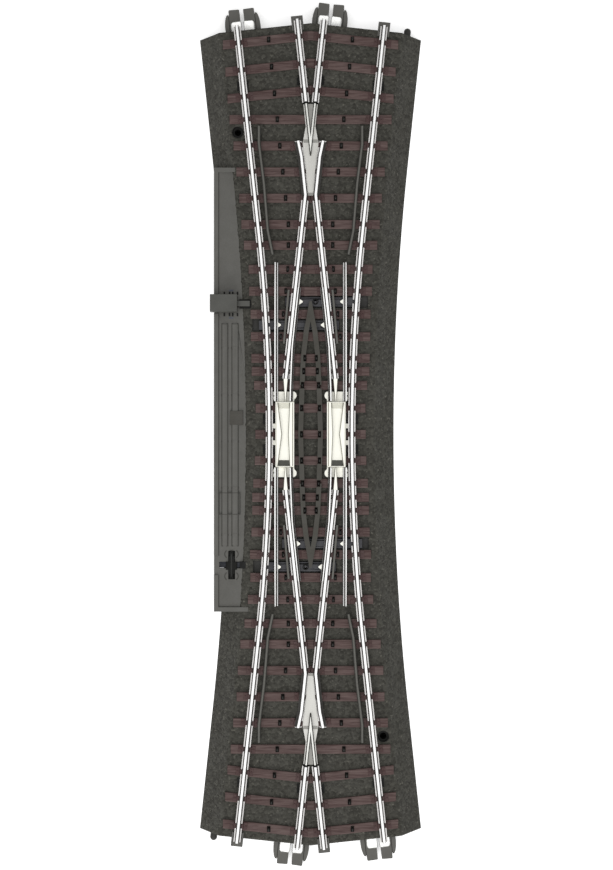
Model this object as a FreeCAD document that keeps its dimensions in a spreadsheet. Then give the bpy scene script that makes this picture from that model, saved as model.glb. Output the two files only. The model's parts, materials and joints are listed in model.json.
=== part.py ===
"""Three-rail H0 double slip turnout on a moulded roadbed, with its hand drive.

Frame: the origin is where the two tracks cross, on the plane that the roadbed stands on.
+Y runs along the turnout, +X across it and +Z up. Everything is in millimetres.
Track A runs from north-west to south-east and track B from north-east to south-west.
"""
import FreeCAD, Part
import math
import os

doc = FreeCAD.newDocument("double_slip")

# ---------------------------------------------------------------- driving dimensions
DIMENSIONS = [
    ("half_angle", 6.05, "half the crossing angle, degrees"),
    ("track_reach", 118.05, "crossing centre to each end plane, along the track"),
    ("rail_offset", 8.725, "track centre line to rail centre line"),
    ("stock_radius", 553.05, "radius of the outer stock rail's curve"),
    ("slip_x", 5.6, "inner slip rail at the middle"),
    ("base_half", 20.0, "half the roadbed's width at its foot"),
    ("top_half", 14.0, "half the roadbed's width at its top"),
    ("waist_radius", 748.2, "plan radius of the roadbed's sides at its foot"),
    ("shell", 1.8, "wall thickness of the roadbed, measured flat"),
    ("rib", 1.2, "rib thickness"),
    ("ground", 0.0, "plane that the roadbed stands on"),
    ("shell_under", 5.7, "underside of the roadbed's top"),
    ("bed_top", 7.2, "top of the ballast"),
    ("trough_floor", 6.2, "floor of the tie bars' troughs"),
    ("sleeper_top", 8.0, "top of the sleepers and underside of the rails"),
    ("foot_top", 8.4, "top of the rail foot"),
    ("head_under", 9.5, "underside of the rail head"),
    ("rail_top", 10.3, "running surface"),
    ("check_top", 10.0, "top of the check rails"),
    ("foot_half", 1.05, "half the rail foot's width"),
    ("web_half", 0.25, "half the rail web's thickness"),
    ("head_half", 0.475, "half the rail head's width"),
    ("sleeper_width", 2.6, "sleeper width"),
    ("deck_top", 6.9, "top of the drive housing's deck"),
    ("rim_top", 7.4, "top of the drive housing's rim"),
    ("relief_top", 7.3, "top of the raised dummy rodding"),
    ("deck_west", 27.9, "crossing centre to the housing's outer face"),
    ("deck_north", 77.0, "crossing centre to the housing's north face"),
    ("deck_south", 51.2, "crossing centre to the housing's south face"),
    ("deck_wall", 1.3, "housing wall and rim width"),
    ("stud_low", 5.2, "foot of the centre contact studs"),
    ("stud_top", 9.3, "top of the centre contact studs"),
    ("strip_low", 4.8, "underside of the centre conductor strips"),
    ("guide_top", 9.6, "top of the centre guide"),
    ("arch_top", 9.0, "crown of the centre guide's arches over the tie bars"),
    ("guard_top", 9.3, "top of the blade guards"),
    ("blade_low", 8.45, "underside of the switch blades"),
    ("blade_foot_top", 8.85, "top of a blade's foot"),
    ("blade_swing", 4.8, "angle between a blade's closed and open places, degrees"),
    ("heel_y", 11.15, "crossing centre to the blades' heel pins"),
    ("outer_tip_y", 49.4, "tip of the outer blades"),
    ("inner_tip_y", 42.2, "tip of the inner blades"),
    ("outer_bar_y", 38.2, "centre of the outer tie bars"),
    ("inner_bar_y", 31.5, "centre of the inner tie bars"),
    ("bar_width", 2.7, "tie bar width"),
    ("bar_low", 6.3, "underside of the tie bars"),
    ("bar_top", 7.7, "top of the tie bars"),
    ("trough_width", 3.4, "width of the troughs that the tie bars slide in"),
    ("pin_low", 6.5, "lower end of a blade's drive pin"),
    ("pin_radius", 0.3, "drive pin and link pin radius"),
    ("pin_slot_half", 0.38, "half the width of the slot round a drive pin"),
    ("pin_slot_reach", 0.35, "how far the slot's round ends stand from the bar's centre"),
    ("heel_pin_radius", 0.3, "heel pin radius"),
    ("heel_bore_radius", 0.35, "bore for a heel pin"),
    ("rocker_x", 2.56, "rocker pivot, across"),
    ("rocker_y", 34.36, "rocker pivot, along"),
    ("long_arm", 3.921, "rocker arm to the outer tie bar"),
    ("short_arm", 2.95, "rocker arm to the inner tie bar"),
    ("side_arm", 4.0, "rocker arm to the coupling rod"),
    ("rocker_low", 3.0, "underside of the rockers"),
    ("rocker_top", 4.2, "top of the rockers"),
    ("rod_low", 1.9, "underside of the push rod and the coupling rod"),
    ("rod_top", 2.8, "top of the push rod and the coupling rod"),
    ("link_pin_low", 1.75, "lower end of the rockers' link pins"),
    ("link_pin_top", 7.9, "upper end of the rockers' link pins"),
    ("post_radius", 0.8, "rocker post radius"),
    ("slider_low", 4.6, "underside of the drive slider"),
    ("slider_top", 5.4, "top of the drive slider"),
    ("clip_low", 0.8, "underside of the track clips"),
    ("clip_top", 4.6, "top of the track clips"),
    ("socket_top", 4.9, "roof of the sockets for the next track's clips"),
    ("joint_offset", 7.06, "track centre line to clip or socket centre"),
    ("socket_half", 5.3, "half a socket's width"),
    ("peg_offset", 15.7, "track centre line to the alignment peg"),
    ("peg_radius", 1.0, "alignment peg radius"),
    ("peg_height", 3.0, "alignment peg axis above the ground"),
    ("peg_reach", 2.4, "how far an alignment peg stands out"),
    ("rail_past", 1.0, "how far the rails run past the end planes"),
    ("tongue_low", 6.6, "underside of the rail joint tongues"),
    ("tongue_top", 7.95, "top of the rail joint tongues"),
    ("tongue_reach", 2.4, "how far the rail joint tongues stand out"),
    ("tongue_half", 1.7, "half the width of a rail joint tongue"),
    ("contact_top", 5.0, "top of the joiner contacts"),
    ("screw_x", 21.0, "fixing hole, across"),
    ("screw_y", 87.2, "fixing hole, along"),
    ("screw_radius", 1.05, "fixing hole radius"),
    ("recess_radius", 1.65, "fixing screw's head recess radius"),
    ("recess_floor", 6.4, "floor of the fixing screw's head recess"),
    ("lid_low", 0.8, "underside of the mechanism cover"),
    ("lid_top", 1.6, "top of the mechanism cover"),
    ("lid_half_x", 15.0, "half the mechanism cover's width"),
    ("lid_half_y", 44.5, "half the mechanism cover's length"),
    ("lid_screw_x", 12.5, "mechanism cover's screws, across"),
    ("lid_screw_y", 42.3, "mechanism cover's screws, along"),
    ("lid_screw_head_low", 0.3, "lowest face of the cover screws"),
    ("lid_screw_tip", 4.5, "tip of the cover screws"),
    ("lid_screw_radius", 0.55, "cover screw shank radius"),
    ("lever_y", 37.7, "hand lever's centre line"),
    ("lever_low", 7.5, "underside of the hand lever's block, above the rim"),
    ("lever_top", 10.9, "top of the hand lever's block"),
    ("frog_floor", 8.9, "floor of the frog's flangeways"),
    ("insulator_y", 95.3, "insulated gap behind each frog nose"),
    ("k_floor", 8.9, "floor of the crossing casting's flangeways"),
    ("k_reach", 9.2, "half the crossing casting's length"),
]

dims = doc.addObject("Spreadsheet::Sheet", "dims")
for number, (alias, value, meaning) in enumerate(DIMENSIONS, 1):
    dims.set(f"A{number}", meaning)
    dims.set(f"B{number}", str(value))
    dims.setAlias(f"B{number}", alias)
doc.recompute()


def dim(alias):
    return float(dims.get(alias))


ANGLE = math.radians(dim("half_angle"))
LEAN = math.tan(ANGLE)
RAIL_X = dim("rail_offset") / math.cos(ANGLE)
SWING = math.radians(dim("blade_swing"))
OUTER_HEEL_X = RAIL_X + LEAN * dim("heel_y")
OUTER_TRAVEL = (dim("outer_bar_y") - dim("heel_y")) * math.sin(SWING)
INNER_TRAVEL = (dim("inner_bar_y") - dim("heel_y")) * math.sin(SWING)
ROCKER_HALF_SWING = math.asin(OUTER_TRAVEL / 2 / dim("long_arm"))

# blades' centre lines about their heel pins, drawn in the north-west quarter and closed
HEEL_TAIL = 1.6
TAPER_START = 15.0
OUTER_BLADE_PATH = [(0.0, -HEEL_TAIL), (0.0, dim("outer_tip_y") - dim("heel_y"))]
INNER_BLADE_PATH = [
    (0.0, -HEEL_TAIL), (0.1, 2.85), (0.55, 13.85), (2.36, dim("inner_tip_y") - dim("heel_y")),
]

# compass corners of the turnout: (sign of x, sign of y)
CORNERS = {"nw": (-1, 1), "ne": (1, 1), "sw": (-1, -1), "se": (1, -1)}
# each end's frame is the turnout's turned by this angle, so its track runs along +Y there
ENDS = {"nw": ANGLE, "ne": -ANGLE, "se": math.pi + ANGLE, "sw": math.pi - ANGLE}
CLIP_SIDE = -1
PEG_ENDS = {"ne": 1, "sw": 1}
PEG_HOLE_ENDS = {"nw": -1, "se": -1}


# ---------------------------------------------------------------- plane geometry helpers
def vector(point):
    return FreeCAD.Vector(point[0], point[1], 0)


def turned(points, angle):
    c = math.cos(angle)
    s = math.sin(angle)
    return [(c * x - s * y, s * x + c * y) for x, y in points]


def mirrored(points, sign_x, sign_y):
    return [(sign_x * x, sign_y * y) for x, y in points]


def polygon(points):
    closed = list(points) + [points[0]]
    return [Part.LineSegment(vector(p), vector(q)) for p, q in zip(closed, closed[1:])]


def rectangle(x_low, x_high, y_low, y_high):
    return polygon([(x_low, y_low), (x_high, y_low), (x_high, y_high), (x_low, y_high)])


def circle(x, y, radius):
    return [Part.Circle(vector((x, y)), FreeCAD.Vector(0, 0, 1), radius)]


def slot_along_y(x, y, half_width, reach):
    """A round-ended slot along Y whose end centres stand reach from (x, y)."""
    corners = [(x + half_width, y - reach), (x + half_width, y + reach)]
    others = [(x - half_width, y + reach), (x - half_width, y - reach)]
    top = (x, y + reach + half_width)
    bottom = (x, y - reach - half_width)
    return [
        Part.LineSegment(vector(corners[0]), vector(corners[1])),
        Part.Arc(vector(corners[1]), vector(top), vector(others[0])),
        Part.LineSegment(vector(others[0]), vector(others[1])),
        Part.Arc(vector(others[1]), vector(bottom), vector(corners[0])),
    ]


def offset_side(path, distance):
    """The points of a path moved sideways by distance, mitred at its bends."""
    moved = []
    for i, point in enumerate(path):
        normals = []
        for start, end in ((i - 1, i), (i, i + 1)):
            if start < 0 or end >= len(path):
                continue
            run_x = path[end][0] - path[start][0]
            run_y = path[end][1] - path[start][1]
            run = math.hypot(run_x, run_y)
            normals.append((run_y / run, -run_x / run))
        sum_x = sum(n[0] for n in normals)
        sum_y = sum(n[1] for n in normals)
        scale = len(normals) / (sum_x * sum_x + sum_y * sum_y)
        moved.append((point[0] + distance * sum_x * scale, point[1] + distance * sum_y * scale))
    return moved


def ribbon(path, right, left=None):
    """A closed outline round a path: right and left are its widths each side."""
    left = right if left is None else left
    return polygon(offset_side(path, right) + offset_side(path, -left)[::-1])


def path_x(path, y):
    """How far a path lies across at a distance y along."""
    for (x0, y0), (x1, y1) in zip(path, path[1:]):
        if y0 <= y <= y1:
            return x0 + (x1 - x0) * (y - y0) / (y1 - y0)
    raise ValueError(y)


# ---------------------------------------------------------------- document helpers
PARTS = []


def new_body(label):
    body = doc.addObject("PartDesign::Body", label)
    body.Label = label
    body.AllowCompound = True
    PARTS.append(body)
    return body


def sketch_at(body, name, level, outlines):
    """A sketch parallel to the body's XY plane at a level that the sheet drives."""
    sketch = body.newObject("Sketcher::SketchObject", name)
    plane = next(f for f in body.Origin.OriginFeatures if f.Role == "XY_Plane")
    sketch.AttachmentSupport = [(plane, "")]
    sketch.MapMode = "FlatFace"
    sketch.setExpression("AttachmentOffset.Base.z", f"dims.{level}")
    for outline in outlines:
        sketch.addGeometry(outline, False)
    return sketch


def add_layer(body, name, outlines, low, high):
    """Outlines raised from one level of the sheet to another."""
    pad = body.newObject("PartDesign::Pad", name)
    pad.Profile = sketch_at(body, f"{name}_sketch", low, outlines)
    pad.setExpression("Length", f"dims.{high} - dims.{low}")
    return pad


def cut_layer(body, name, outlines, low, high):
    """Outlines cut away between two levels of the sheet."""
    doc.recompute()
    before = body.Shape.Volume
    pocket = body.newObject("PartDesign::Pocket", name)
    pocket.Profile = sketch_at(body, f"{name}_sketch", low, outlines)
    pocket.setExpression("Length", f"dims.{high} - dims.{low}")
    pocket.Reversed = True
    doc.recompute()
    if not body.Shape.Volume < before:
        raise RuntimeError(f"{body.Label}: {name} cuts nothing")
    return pocket


# ---------------------------------------------------------------- roadbed
def waist_outline(half, inset=0.0):
    """The crossed tracks' outline at a half width, its waist rounded, its ends inset."""
    radius = dim("waist_radius") + dim("base_half") - half
    to_centre = (dim("waist_radius") + dim("base_half")) / math.cos(ANGLE)
    reach = dim("track_reach") - inset
    north_east = turned([(half, reach)], -ANGLE)[0]
    apex = (0.0, reach / math.cos(ANGLE))
    tangent = (to_centre - radius * math.cos(ANGLE), radius * math.sin(ANGLE))
    waist = (to_centre - radius, 0.0)

    def corner(point, sign_x, sign_y):
        return vector((sign_x * point[0], sign_y * point[1]))

    outline = []
    for sign in (1, -1):
        outline += [
            Part.LineSegment(corner(apex, 1, sign), corner(north_east, sign, sign)),
            Part.LineSegment(corner(north_east, sign, sign), corner(tangent, sign, sign)),
            Part.Arc(corner(tangent, sign, sign), corner(waist, sign, 1), corner(tangent, sign, -sign)),
            Part.LineSegment(corner(tangent, sign, -sign), corner(north_east, sign, -sign)),
            Part.LineSegment(corner(north_east, sign, -sign), corner(apex, 1, -sign)),
        ]
    return outline


# sleepers: (distance from the middle, half length); the crossing's own sleeper is at 0
STRAIGHT_SLEEPERS = [
    (0.0, 16.0), (7.55, 16.0), (14.12, 16.5), (18.18, 17.05), (21.92, 17.05), (28.18, 17.25),
    (34.66, 17.5), (41.28, 17.55), (47.62, 18.0), (54.54, 19.0), (60.53, 20.0), (68.1, 20.8),
    (75.7, 21.5), (83.2, 22.4), (90.8, 23.2),
]
BENT_SLEEPERS = [(99.3, 23.9), (107.1, 24.6), (115.0, 25.5)]
# centre contact studs: (distance from the middle, distance from the turnout's axis)
STUDS = [
    (0.0, 2.6), (7.55, 2.6), (14.12, 2.35), (18.18, 1.97), (21.92, 1.66), (28.18, 8.5),
    (34.66, 7.8), (41.28, 7.06), (47.62, 6.5), (54.54, 6.4), (60.53, 6.4), (68.1, 7.2),
    (75.7, 8.0), (83.2, 8.86), (90.8, 9.6), (98.3, 10.4), (106.0, 11.24), (113.8, 12.07),
]


def both_ways(distance):
    return (1,) if distance == 0 else (1, -1)


def stud_rectangles(half_x, half_y):
    outlines = []
    for along, across in STUDS:
        for sign_y in both_ways(along):
            for sign_x in (1, -1):
                x = sign_x * across
                y = sign_y * along
                outlines.append(rectangle(x - half_x, x + half_x, y - half_y, y + half_y))
    return outlines


STUD_HALF_X = 0.3
STUD_HALF_Y = 0.55
STUD_FIT = 0.04
STRIP_HALF = 0.6
OUTER_TROUGH = (-7.45, 16.6)
INNER_TROUGH = (-16.8, 8.35)
OUTER_BAR = (-7.3, 14.1)
INNER_BAR = (-14.9, 8.2)


def opposite(low_high, sign):
    """A span along X, or the same span turned half round for the south side."""
    low, high = low_high
    return (low, high) if sign > 0 else (-high, -low)


def trough_rectangles():
    outlines = []
    half = dim("trough_width") / 2
    for sign in (1, -1):
        for y, span in ((dim("outer_bar_y"), OUTER_TROUGH), (dim("inner_bar_y"), INNER_TROUGH)):
            low, high = opposite(span, sign)
            outlines.append(rectangle(low, high, sign * y - half, sign * y + half))
    return outlines


def link_slots():
    """Slots in the troughs' floors that the rockers' link pins swing in."""
    outlines = []
    gap = dim("pin_radius") + 0.35
    for sign in (1, -1):
        for y, travel, arm in (
            (dim("outer_bar_y"), OUTER_TRAVEL, dim("long_arm")),
            (dim("inner_bar_y"), INNER_TRAVEL, dim("short_arm")),
        ):
            rise = arm * (1 - math.cos(ROCKER_HALF_SWING)) / 2
            half_x = travel / 2 + gap
            half_y = rise + gap
            x = sign * dim("rocker_x")
            outlines.append(rectangle(x - half_x, x + half_x, sign * y - half_y, sign * y + half_y))
    return outlines


SLIDER_SPAN = (-23.6, -9.0)
SLIDER_HALF = 0.9
SLIDER_PIN_X = -9.9


def fixing_circles(radius):
    """A circle at each of the two fixing screws."""
    x = dim("screw_x")
    y = dim("screw_y")
    return [circle(sign * x, -sign * y, radius) for sign in (1, -1)]


def cover_screw_circles(radius):
    """A circle at each of the mechanism cover's four screws."""
    x = dim("lid_screw_x")
    y = dim("lid_screw_y")
    return [circle(sx * x, sy * y, radius) for sx, sy in CORNERS.values()]


def make_roadbed():
    body = new_body("roadbed")
    outside = body.newObject("PartDesign::AdditiveLoft", "outside")
    outside.Profile = sketch_at(body, "foot_outline", "ground", [waist_outline(dim("base_half"))])
    outside.Sections = [sketch_at(body, "top_outline", "bed_top", [waist_outline(dim("top_half"))])]
    outside.Ruled = True
    slope = (dim("base_half") - dim("top_half")) / dim("bed_top")
    inner_foot = dim("base_half") - dim("shell")
    inner_top = inner_foot - slope * dim("shell_under")
    inside = body.newObject("PartDesign::SubtractiveLoft", "inside")
    inside.Profile = sketch_at(body, "inner_foot", "ground", [waist_outline(inner_foot, dim("shell"))])
    inside.Sections = [
        sketch_at(body, "inner_top", "shell_under", [waist_outline(inner_top, dim("shell"))])
    ]
    inside.Ruled = True

    half_rib = dim("rib") / 2
    ribs = []
    for y, half_length in ((46.0, 19.4), (66.0, 21.4), (86.0, 23.4), (106.0, 25.4)):
        for sign in (1, -1):
            ribs.append(rectangle(-half_length, half_length, sign * y - half_rib, sign * y + half_rib))
    add_layer(body, "cross_ribs", ribs, "ground", "shell_under")
    spines = []
    for sign in (1, -1):
        for start in (46.0, 66.0, 86.0):
            low = start + half_rib
            high = start + 20.0 - half_rib
            south, north = opposite((low, high), sign)
            spines.append(rectangle(-half_rib, half_rib, south, north))
    add_layer(body, "spine_ribs", spines, "ground", "shell_under")
    boss_radius = 2.1
    cover_boss_radius = 1.6
    add_layer(body, "fixing_bosses", fixing_circles(boss_radius), "ground", "shell_under")
    add_layer(body, "cover_bosses", cover_screw_circles(cover_boss_radius), "lid_top", "shell_under")
    cut_layer(body, "fixing_holes", fixing_circles(dim("screw_radius")), "ground", "bed_top")
    cut_layer(body, "fixing_recesses", fixing_circles(dim("recess_radius")), "recess_floor", "bed_top")
    lid_holes = cover_screw_circles(dim("lid_screw_radius"))
    cut_layer(body, "cover_screw_holes", lid_holes, "lid_top", "lid_screw_tip")
    cut_layer(body, "troughs", trough_rectangles(), "trough_floor", "bed_top")
    cut_layer(body, "link_slots", link_slots(), "shell_under", "trough_floor")
    stud_holes = stud_rectangles(STUD_HALF_X + STUD_FIT, STUD_HALF_Y + STUD_FIT)
    cut_layer(body, "stud_holes", stud_holes, "shell_under", "bed_top")
    cut_layer(body, "strip_channels", conductor_outlines(STRIP_HALF + 0.1), "strip_low", "shell_under")

    half = dim("socket_half")
    depth = 2.0
    sockets = []
    for angle in ENDS.values():
        centre = -CLIP_SIDE * dim("joint_offset")
        corners = [
            (centre - half, dim("track_reach") - depth), (centre + half, dim("track_reach") - depth),
            (centre + half, dim("track_reach") + 1.0), (centre - half, dim("track_reach") + 1.0),
        ]
        sockets.append(polygon(turned(corners, angle)))
    cut_layer(body, "clip_sockets", sockets, "ground", "socket_top")

    rod_way = rectangle(-26.0, -17.0, dim("lever_y") - 0.9, dim("lever_y") + 1.9)
    cut_layer(body, "push_rod_way", [rod_way], "lid_top", "rocker_low")
    stem_way = rectangle(-25.5, -19.8, dim("lever_y") - 0.9, dim("lever_y") + 0.9)
    cut_layer(body, "lever_stem_way", [stem_way], "rod_top", "bed_top")
    slider_way = rectangle(-26.0, -17.0, -dim("outer_bar_y") - 1.2, -dim("outer_bar_y") + 1.2)
    cut_layer(body, "slider_way", [slider_way], "clip_top", "shell_under")
    pin_way = rectangle(
        SLIDER_PIN_X - OUTER_TRAVEL - 0.8, SLIDER_PIN_X + 0.8,
        -dim("outer_bar_y") - 0.8, -dim("outer_bar_y") + 0.8,
    )
    cut_layer(body, "slider_pin_way", [pin_way], "shell_under", "trough_floor")

    for end, side in PEG_HOLE_ENDS.items():
        hole = body.newObject("PartDesign::SubtractiveCylinder", f"peg_hole_{end}")
        hole.setExpression("Radius", "dims.peg_radius + 0.05")
        hole.Height = dim("shell") + 1.0
        start = turned([(side * dim("peg_offset"), dim("track_reach") - dim("shell") - 0.5)], ENDS[end])[0]
        heading = math.degrees(ENDS[end])
        spin = FreeCAD.Rotation(FreeCAD.Vector(0, 0, 1), heading)
        tip = FreeCAD.Rotation(FreeCAD.Vector(1, 0, 0), -90)
        hole.Placement = FreeCAD.Placement(
            FreeCAD.Vector(start[0], start[1], dim("peg_height")), spin.multiply(tip)
        )
    return body


# ---------------------------------------------------------------- sleepers and centre contacts
def make_sleepers():
    body = new_body("sleepers")
    half_width = dim("sleeper_width") / 2
    outlines = []
    for along, half_length in STRAIGHT_SLEEPERS:
        for sign in both_ways(along):
            y = sign * along
            outlines.append(rectangle(-half_length, half_length, y - half_width, y + half_width))
    for apex, half_length in BENT_SLEEPERS:
        for sign in (1, -1):
            drop = half_length * LEAN
            end_y = sign * (apex - drop)
            path = [(-half_length, end_y), (0, sign * apex), (half_length, end_y)]
            outlines.append(ribbon(path, half_width))
    add_layer(body, "sleeper_bars", outlines, "bed_top", "sleeper_top")
    cut_layer(body, "stud_windows", stud_rectangles(0.46, 0.8), "bed_top", "sleeper_top")
    return body


def make_studs():
    body = new_body("contact_studs")
    add_layer(body, "studs", stud_rectangles(STUD_HALF_X, STUD_HALF_Y), "stud_low", "stud_top")
    return body


def conductor_outlines(half_width):
    """The six strips under the studs: two through the middle and one in each quarter."""
    inner = [(along, across) for along, across in STUDS if along < 25.0]
    outer = [(along, across) for along, across in STUDS if along > 25.0]
    outlines = []
    for side in (1, -1):
        south = [(side * across, -along) for along, across in inner[:0:-1]]
        north = [(side * across, along) for along, across in inner]
        outlines.append(ribbon(extended(south + north, 0.8), half_width))
    for sign_x, sign_y in CORNERS.values():
        path = [(sign_x * across, sign_y * along) for along, across in outer]
        outlines.append(ribbon(extended(path, 0.8), half_width))
    return outlines


def make_conductor():
    body = new_body("centre_conductor")
    add_layer(body, "strips", conductor_outlines(STRIP_HALF), "strip_low", "stud_low")
    return body


def extended(path, length):
    """A path run on past both its ends by a length."""
    def beyond(end, before):
        run_x = end[0] - before[0]
        run_y = end[1] - before[1]
        run = math.hypot(run_x, run_y)
        return (end[0] + run_x / run * length, end[1] + run_y / run * length)

    return [beyond(path[0], path[1])] + path[1:-1] + [beyond(path[-1], path[-2])]


# ---------------------------------------------------------------- rails
INSULATOR_HALF = 0.3


def stock_outline(side, half):
    """A stock rail's outline: a straight, the slip curve and a straight."""
    reach = dim("track_reach") + dim("rail_past")
    rail = dim("rail_offset")
    to_centre = dim("stock_radius") / math.cos(ANGLE) + RAIL_X

    def edge(offset):
        straight = rail - offset
        radius = dim("stock_radius") + offset
        end = turned([(straight, reach)], -ANGLE)[0]
        tangent = (to_centre - radius * math.cos(ANGLE), radius * math.sin(ANGLE))
        return end, tangent, (to_centre - radius, 0.0)

    def at(point, sign_y):
        return vector((side * point[0], sign_y * point[1]))

    far_end, far_tangent, far_middle = edge(-half)
    near_end, near_tangent, near_middle = edge(half)
    return [
        Part.LineSegment(at(far_end, 1), at(far_tangent, 1)),
        Part.Arc(at(far_tangent, 1), at(far_middle, 1), at(far_tangent, -1)),
        Part.LineSegment(at(far_tangent, -1), at(far_end, -1)),
        Part.LineSegment(at(far_end, -1), at(near_end, -1)),
        Part.LineSegment(at(near_end, -1), at(near_tangent, -1)),
        Part.Arc(at(near_tangent, -1), at(near_middle, 1), at(near_tangent, 1)),
        Part.LineSegment(at(near_tangent, 1), at(near_end, 1)),
        Part.LineSegment(at(near_end, 1), at(far_end, 1)),
    ]


def pin_notch(x, y):
    """A notch in a rail's foot that lets a blade's drive pin pass."""
    half = dim("pin_radius") + 0.25
    return rectangle(x - half, x + half, y - half, y + half)


def make_rail(label, outline_for, notches=()):
    """A rail's foot, web and head; outline_for gives the outline for a half width."""
    body = new_body(label)
    add_layer(body, "foot", [outline_for(dim("foot_half"))], "sleeper_top", "foot_top")
    if notches:
        cut_layer(body, "pin_notches", notches, "sleeper_top", "foot_top")
    add_layer(body, "web", [outline_for(dim("web_half"))], "foot_top", "head_under")
    add_layer(body, "head", [outline_for(dim("head_half"))], "head_under", "rail_top")
    return body


def inner_rail_point(y):
    """A point of the inner running line in the north-west quarter, at a distance y."""
    return (-RAIL_X + LEAN * y, y)


def make_end_rail(corner):
    """The short rail between an end plane and the insulated gap behind a frog."""
    sign_x, sign_y = CORNERS[corner]
    end = turned([(-dim("rail_offset"), dim("track_reach") + dim("rail_past"))], -ANGLE)[0]
    start = inner_rail_point(dim("insulator_y") + INSULATOR_HALF)
    path = mirrored([end, start], sign_x, sign_y)
    return make_rail(f"end_rail_{corner}", lambda half: ribbon(path, half))


def make_wing_rail(corner):
    sign_x, sign_y = CORNERS[corner]
    north_west = [(-3.6, 84.3), (-2.64, 79.8), inner_rail_point(68.8), inner_rail_point(16.0)]
    path = mirrored(north_west, -sign_x, sign_y)
    bar_y = dim("outer_bar_y") if sign_x * sign_y < 0 else dim("inner_bar_y")
    pin_x = dim("slip_x") - path_x(INNER_BLADE_PATH, bar_y - dim("heel_y"))
    notch = pin_notch(sign_x * pin_x, sign_y * bar_y)
    return make_rail(f"wing_rail_{corner}", lambda half: ribbon(path, half), [notch])


def make_stock_rail(label, side):
    notches = []
    for bar_y, sign_y in ((dim("inner_bar_y"), -side), (dim("outer_bar_y"), side)):
        closed_x = OUTER_HEEL_X + (bar_y - dim("heel_y")) * math.sin(SWING)
        notches.append(pin_notch(side * closed_x, sign_y * bar_y))
    return make_rail(label, lambda half: stock_outline(side, half), notches)


def make_check_rail(corner):
    sign_x, sign_y = CORNERS[corner]
    north_west = [(14.85, 88.6), (14.85, 83.5), (13.4, 72.0), (12.3, 58.5), (10.9, 51.7)]
    body = new_body(f"check_rail_{corner}")
    path = mirrored(north_west, sign_x, sign_y)
    add_layer(body, "flange", [ribbon(path, 0.6)], "sleeper_top", "foot_top")
    add_layer(body, "blade", [ribbon(path, 0.33)], "foot_top", "check_top")
    return body


# ---------------------------------------------------------------- frogs
def frog_name(sign):
    return "north" if sign > 0 else "south"


def make_frog_plate(sign):
    body = new_body(f"frog_plate_{frog_name(sign)}")
    half = [(1.16, 68.7), (2.3, 82.6), (2.3, 84.0), (1.43, 88.6)]
    outline = half + mirrored(half[::-1], -1, 1)
    add_layer(body, "plate", [polygon(mirrored(outline, 1, sign))], "foot_top", "frog_floor")
    return body


def make_frog_nose(sign):
    """The vee of the two point rails, on a sole that reaches back to the gap."""
    body = new_body(f"frog_nose_{frog_name(sign)}")
    back = dim("insulator_y") - INSULATOR_HALF
    inside = LEAN * back - RAIL_X - dim("head_half")
    outside = LEAN * back - RAIL_X + dim("head_half")
    crotch = (RAIL_X + dim("head_half")) / LEAN
    half_sole = [(1.43, 88.6), (2.1, back)]
    sole = half_sole + mirrored(half_sole[::-1], -1, 1)
    add_layer(body, "sole", [polygon(mirrored(sole, 1, sign))], "sleeper_top", "frog_floor")
    vee = [
        (0.16, 80.2), (outside, back), (inside, back), (0.0, crotch),
        (-inside, back), (-outside, back), (-0.16, 80.2),
    ]
    add_layer(body, "vee", [polygon(mirrored(vee, 1, sign))], "frog_floor", "rail_top")
    return body


def make_insulators():
    """Plastic pieces that fill the gaps between the frogs and the end rails."""
    body = new_body("rail_insulators")
    gap = dim("insulator_y")
    outlines = []
    for sign_x, sign_y in CORNERS.values():
        path = [inner_rail_point(gap - 0.23), inner_rail_point(gap + 0.28)]
        outlines.append(ribbon(mirrored(path, sign_x, sign_y), dim("head_half")))
    add_layer(body, "inserts", outlines, "sleeper_top", "rail_top")
    return body


# ---------------------------------------------------------------- crossing castings
def make_crossing(label, side):
    """The obtuse crossing casting, drawn for the west side and mirrored for the east."""
    body = new_body(label)
    reach = dim("k_reach")
    heel = dim("heel_y")
    outer_ear = OUTER_HEEL_X
    ear_end = 12.3
    base_quarter = [
        (-4.7, 0.0), (-4.7, reach), (-3.97, heel - 0.9), (-3.97, heel + 0.9), (-4.7, ear_end),
        (-10.84, ear_end), (-10.84, reach + 0.6), (-10.1, reach), (-10.1, 0.0),
    ]
    north = base_quarter[:-1]
    south = mirrored(north[:0:-1], 1, -1)
    base = [polygon(mirrored(north + south, -side, 1))]
    for sign in (1, -1):
        for x in (-outer_ear, -dim("slip_x")):
            base.append(circle(-side * x, sign * heel, dim("heel_bore_radius")))
    add_layer(body, "base", base, "sleeper_top", "foot_top")

    block = mirrored([(-4.7, reach), (-10.1, reach), (-10.1, -reach), (-4.7, -reach)], -side, 1)
    add_layer(body, "block", [polygon(block)], "foot_top", "k_floor")
    outer = [(-10.1, reach), (-9.35, reach), (-8.18, 0.0), (-9.35, -reach), (-10.1, -reach)]
    inner = [(-4.7, reach), (-6.1, reach), (-6.5, 0.0), (-6.1, -reach), (-4.7, -reach)]
    walls = [polygon(mirrored(outer, -side, 1)), polygon(mirrored(inner, -side, 1))]
    add_layer(body, "walls", walls, "k_floor", "rail_top")
    ramps = []
    for sign in (1, -1):
        ramp = [(-9.3, reach), (-6.15, reach), (-6.2, reach - 0.35), (-9.2, reach - 0.35)]
        ramps.append(polygon(mirrored(ramp, -side, sign)))
    add_layer(body, "end_rims", ramps, "k_floor", "head_under")
    noses = []
    for sign in (1, -1):
        nose = [(-7.35, reach), (-7.1, reach), (-6.65, 15.7), (-7.75, 15.7)]
        noses.append(polygon(mirrored(nose, -side, sign)))
    add_layer(body, "noses", noses, "foot_top", "rail_top")
    return body


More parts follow.
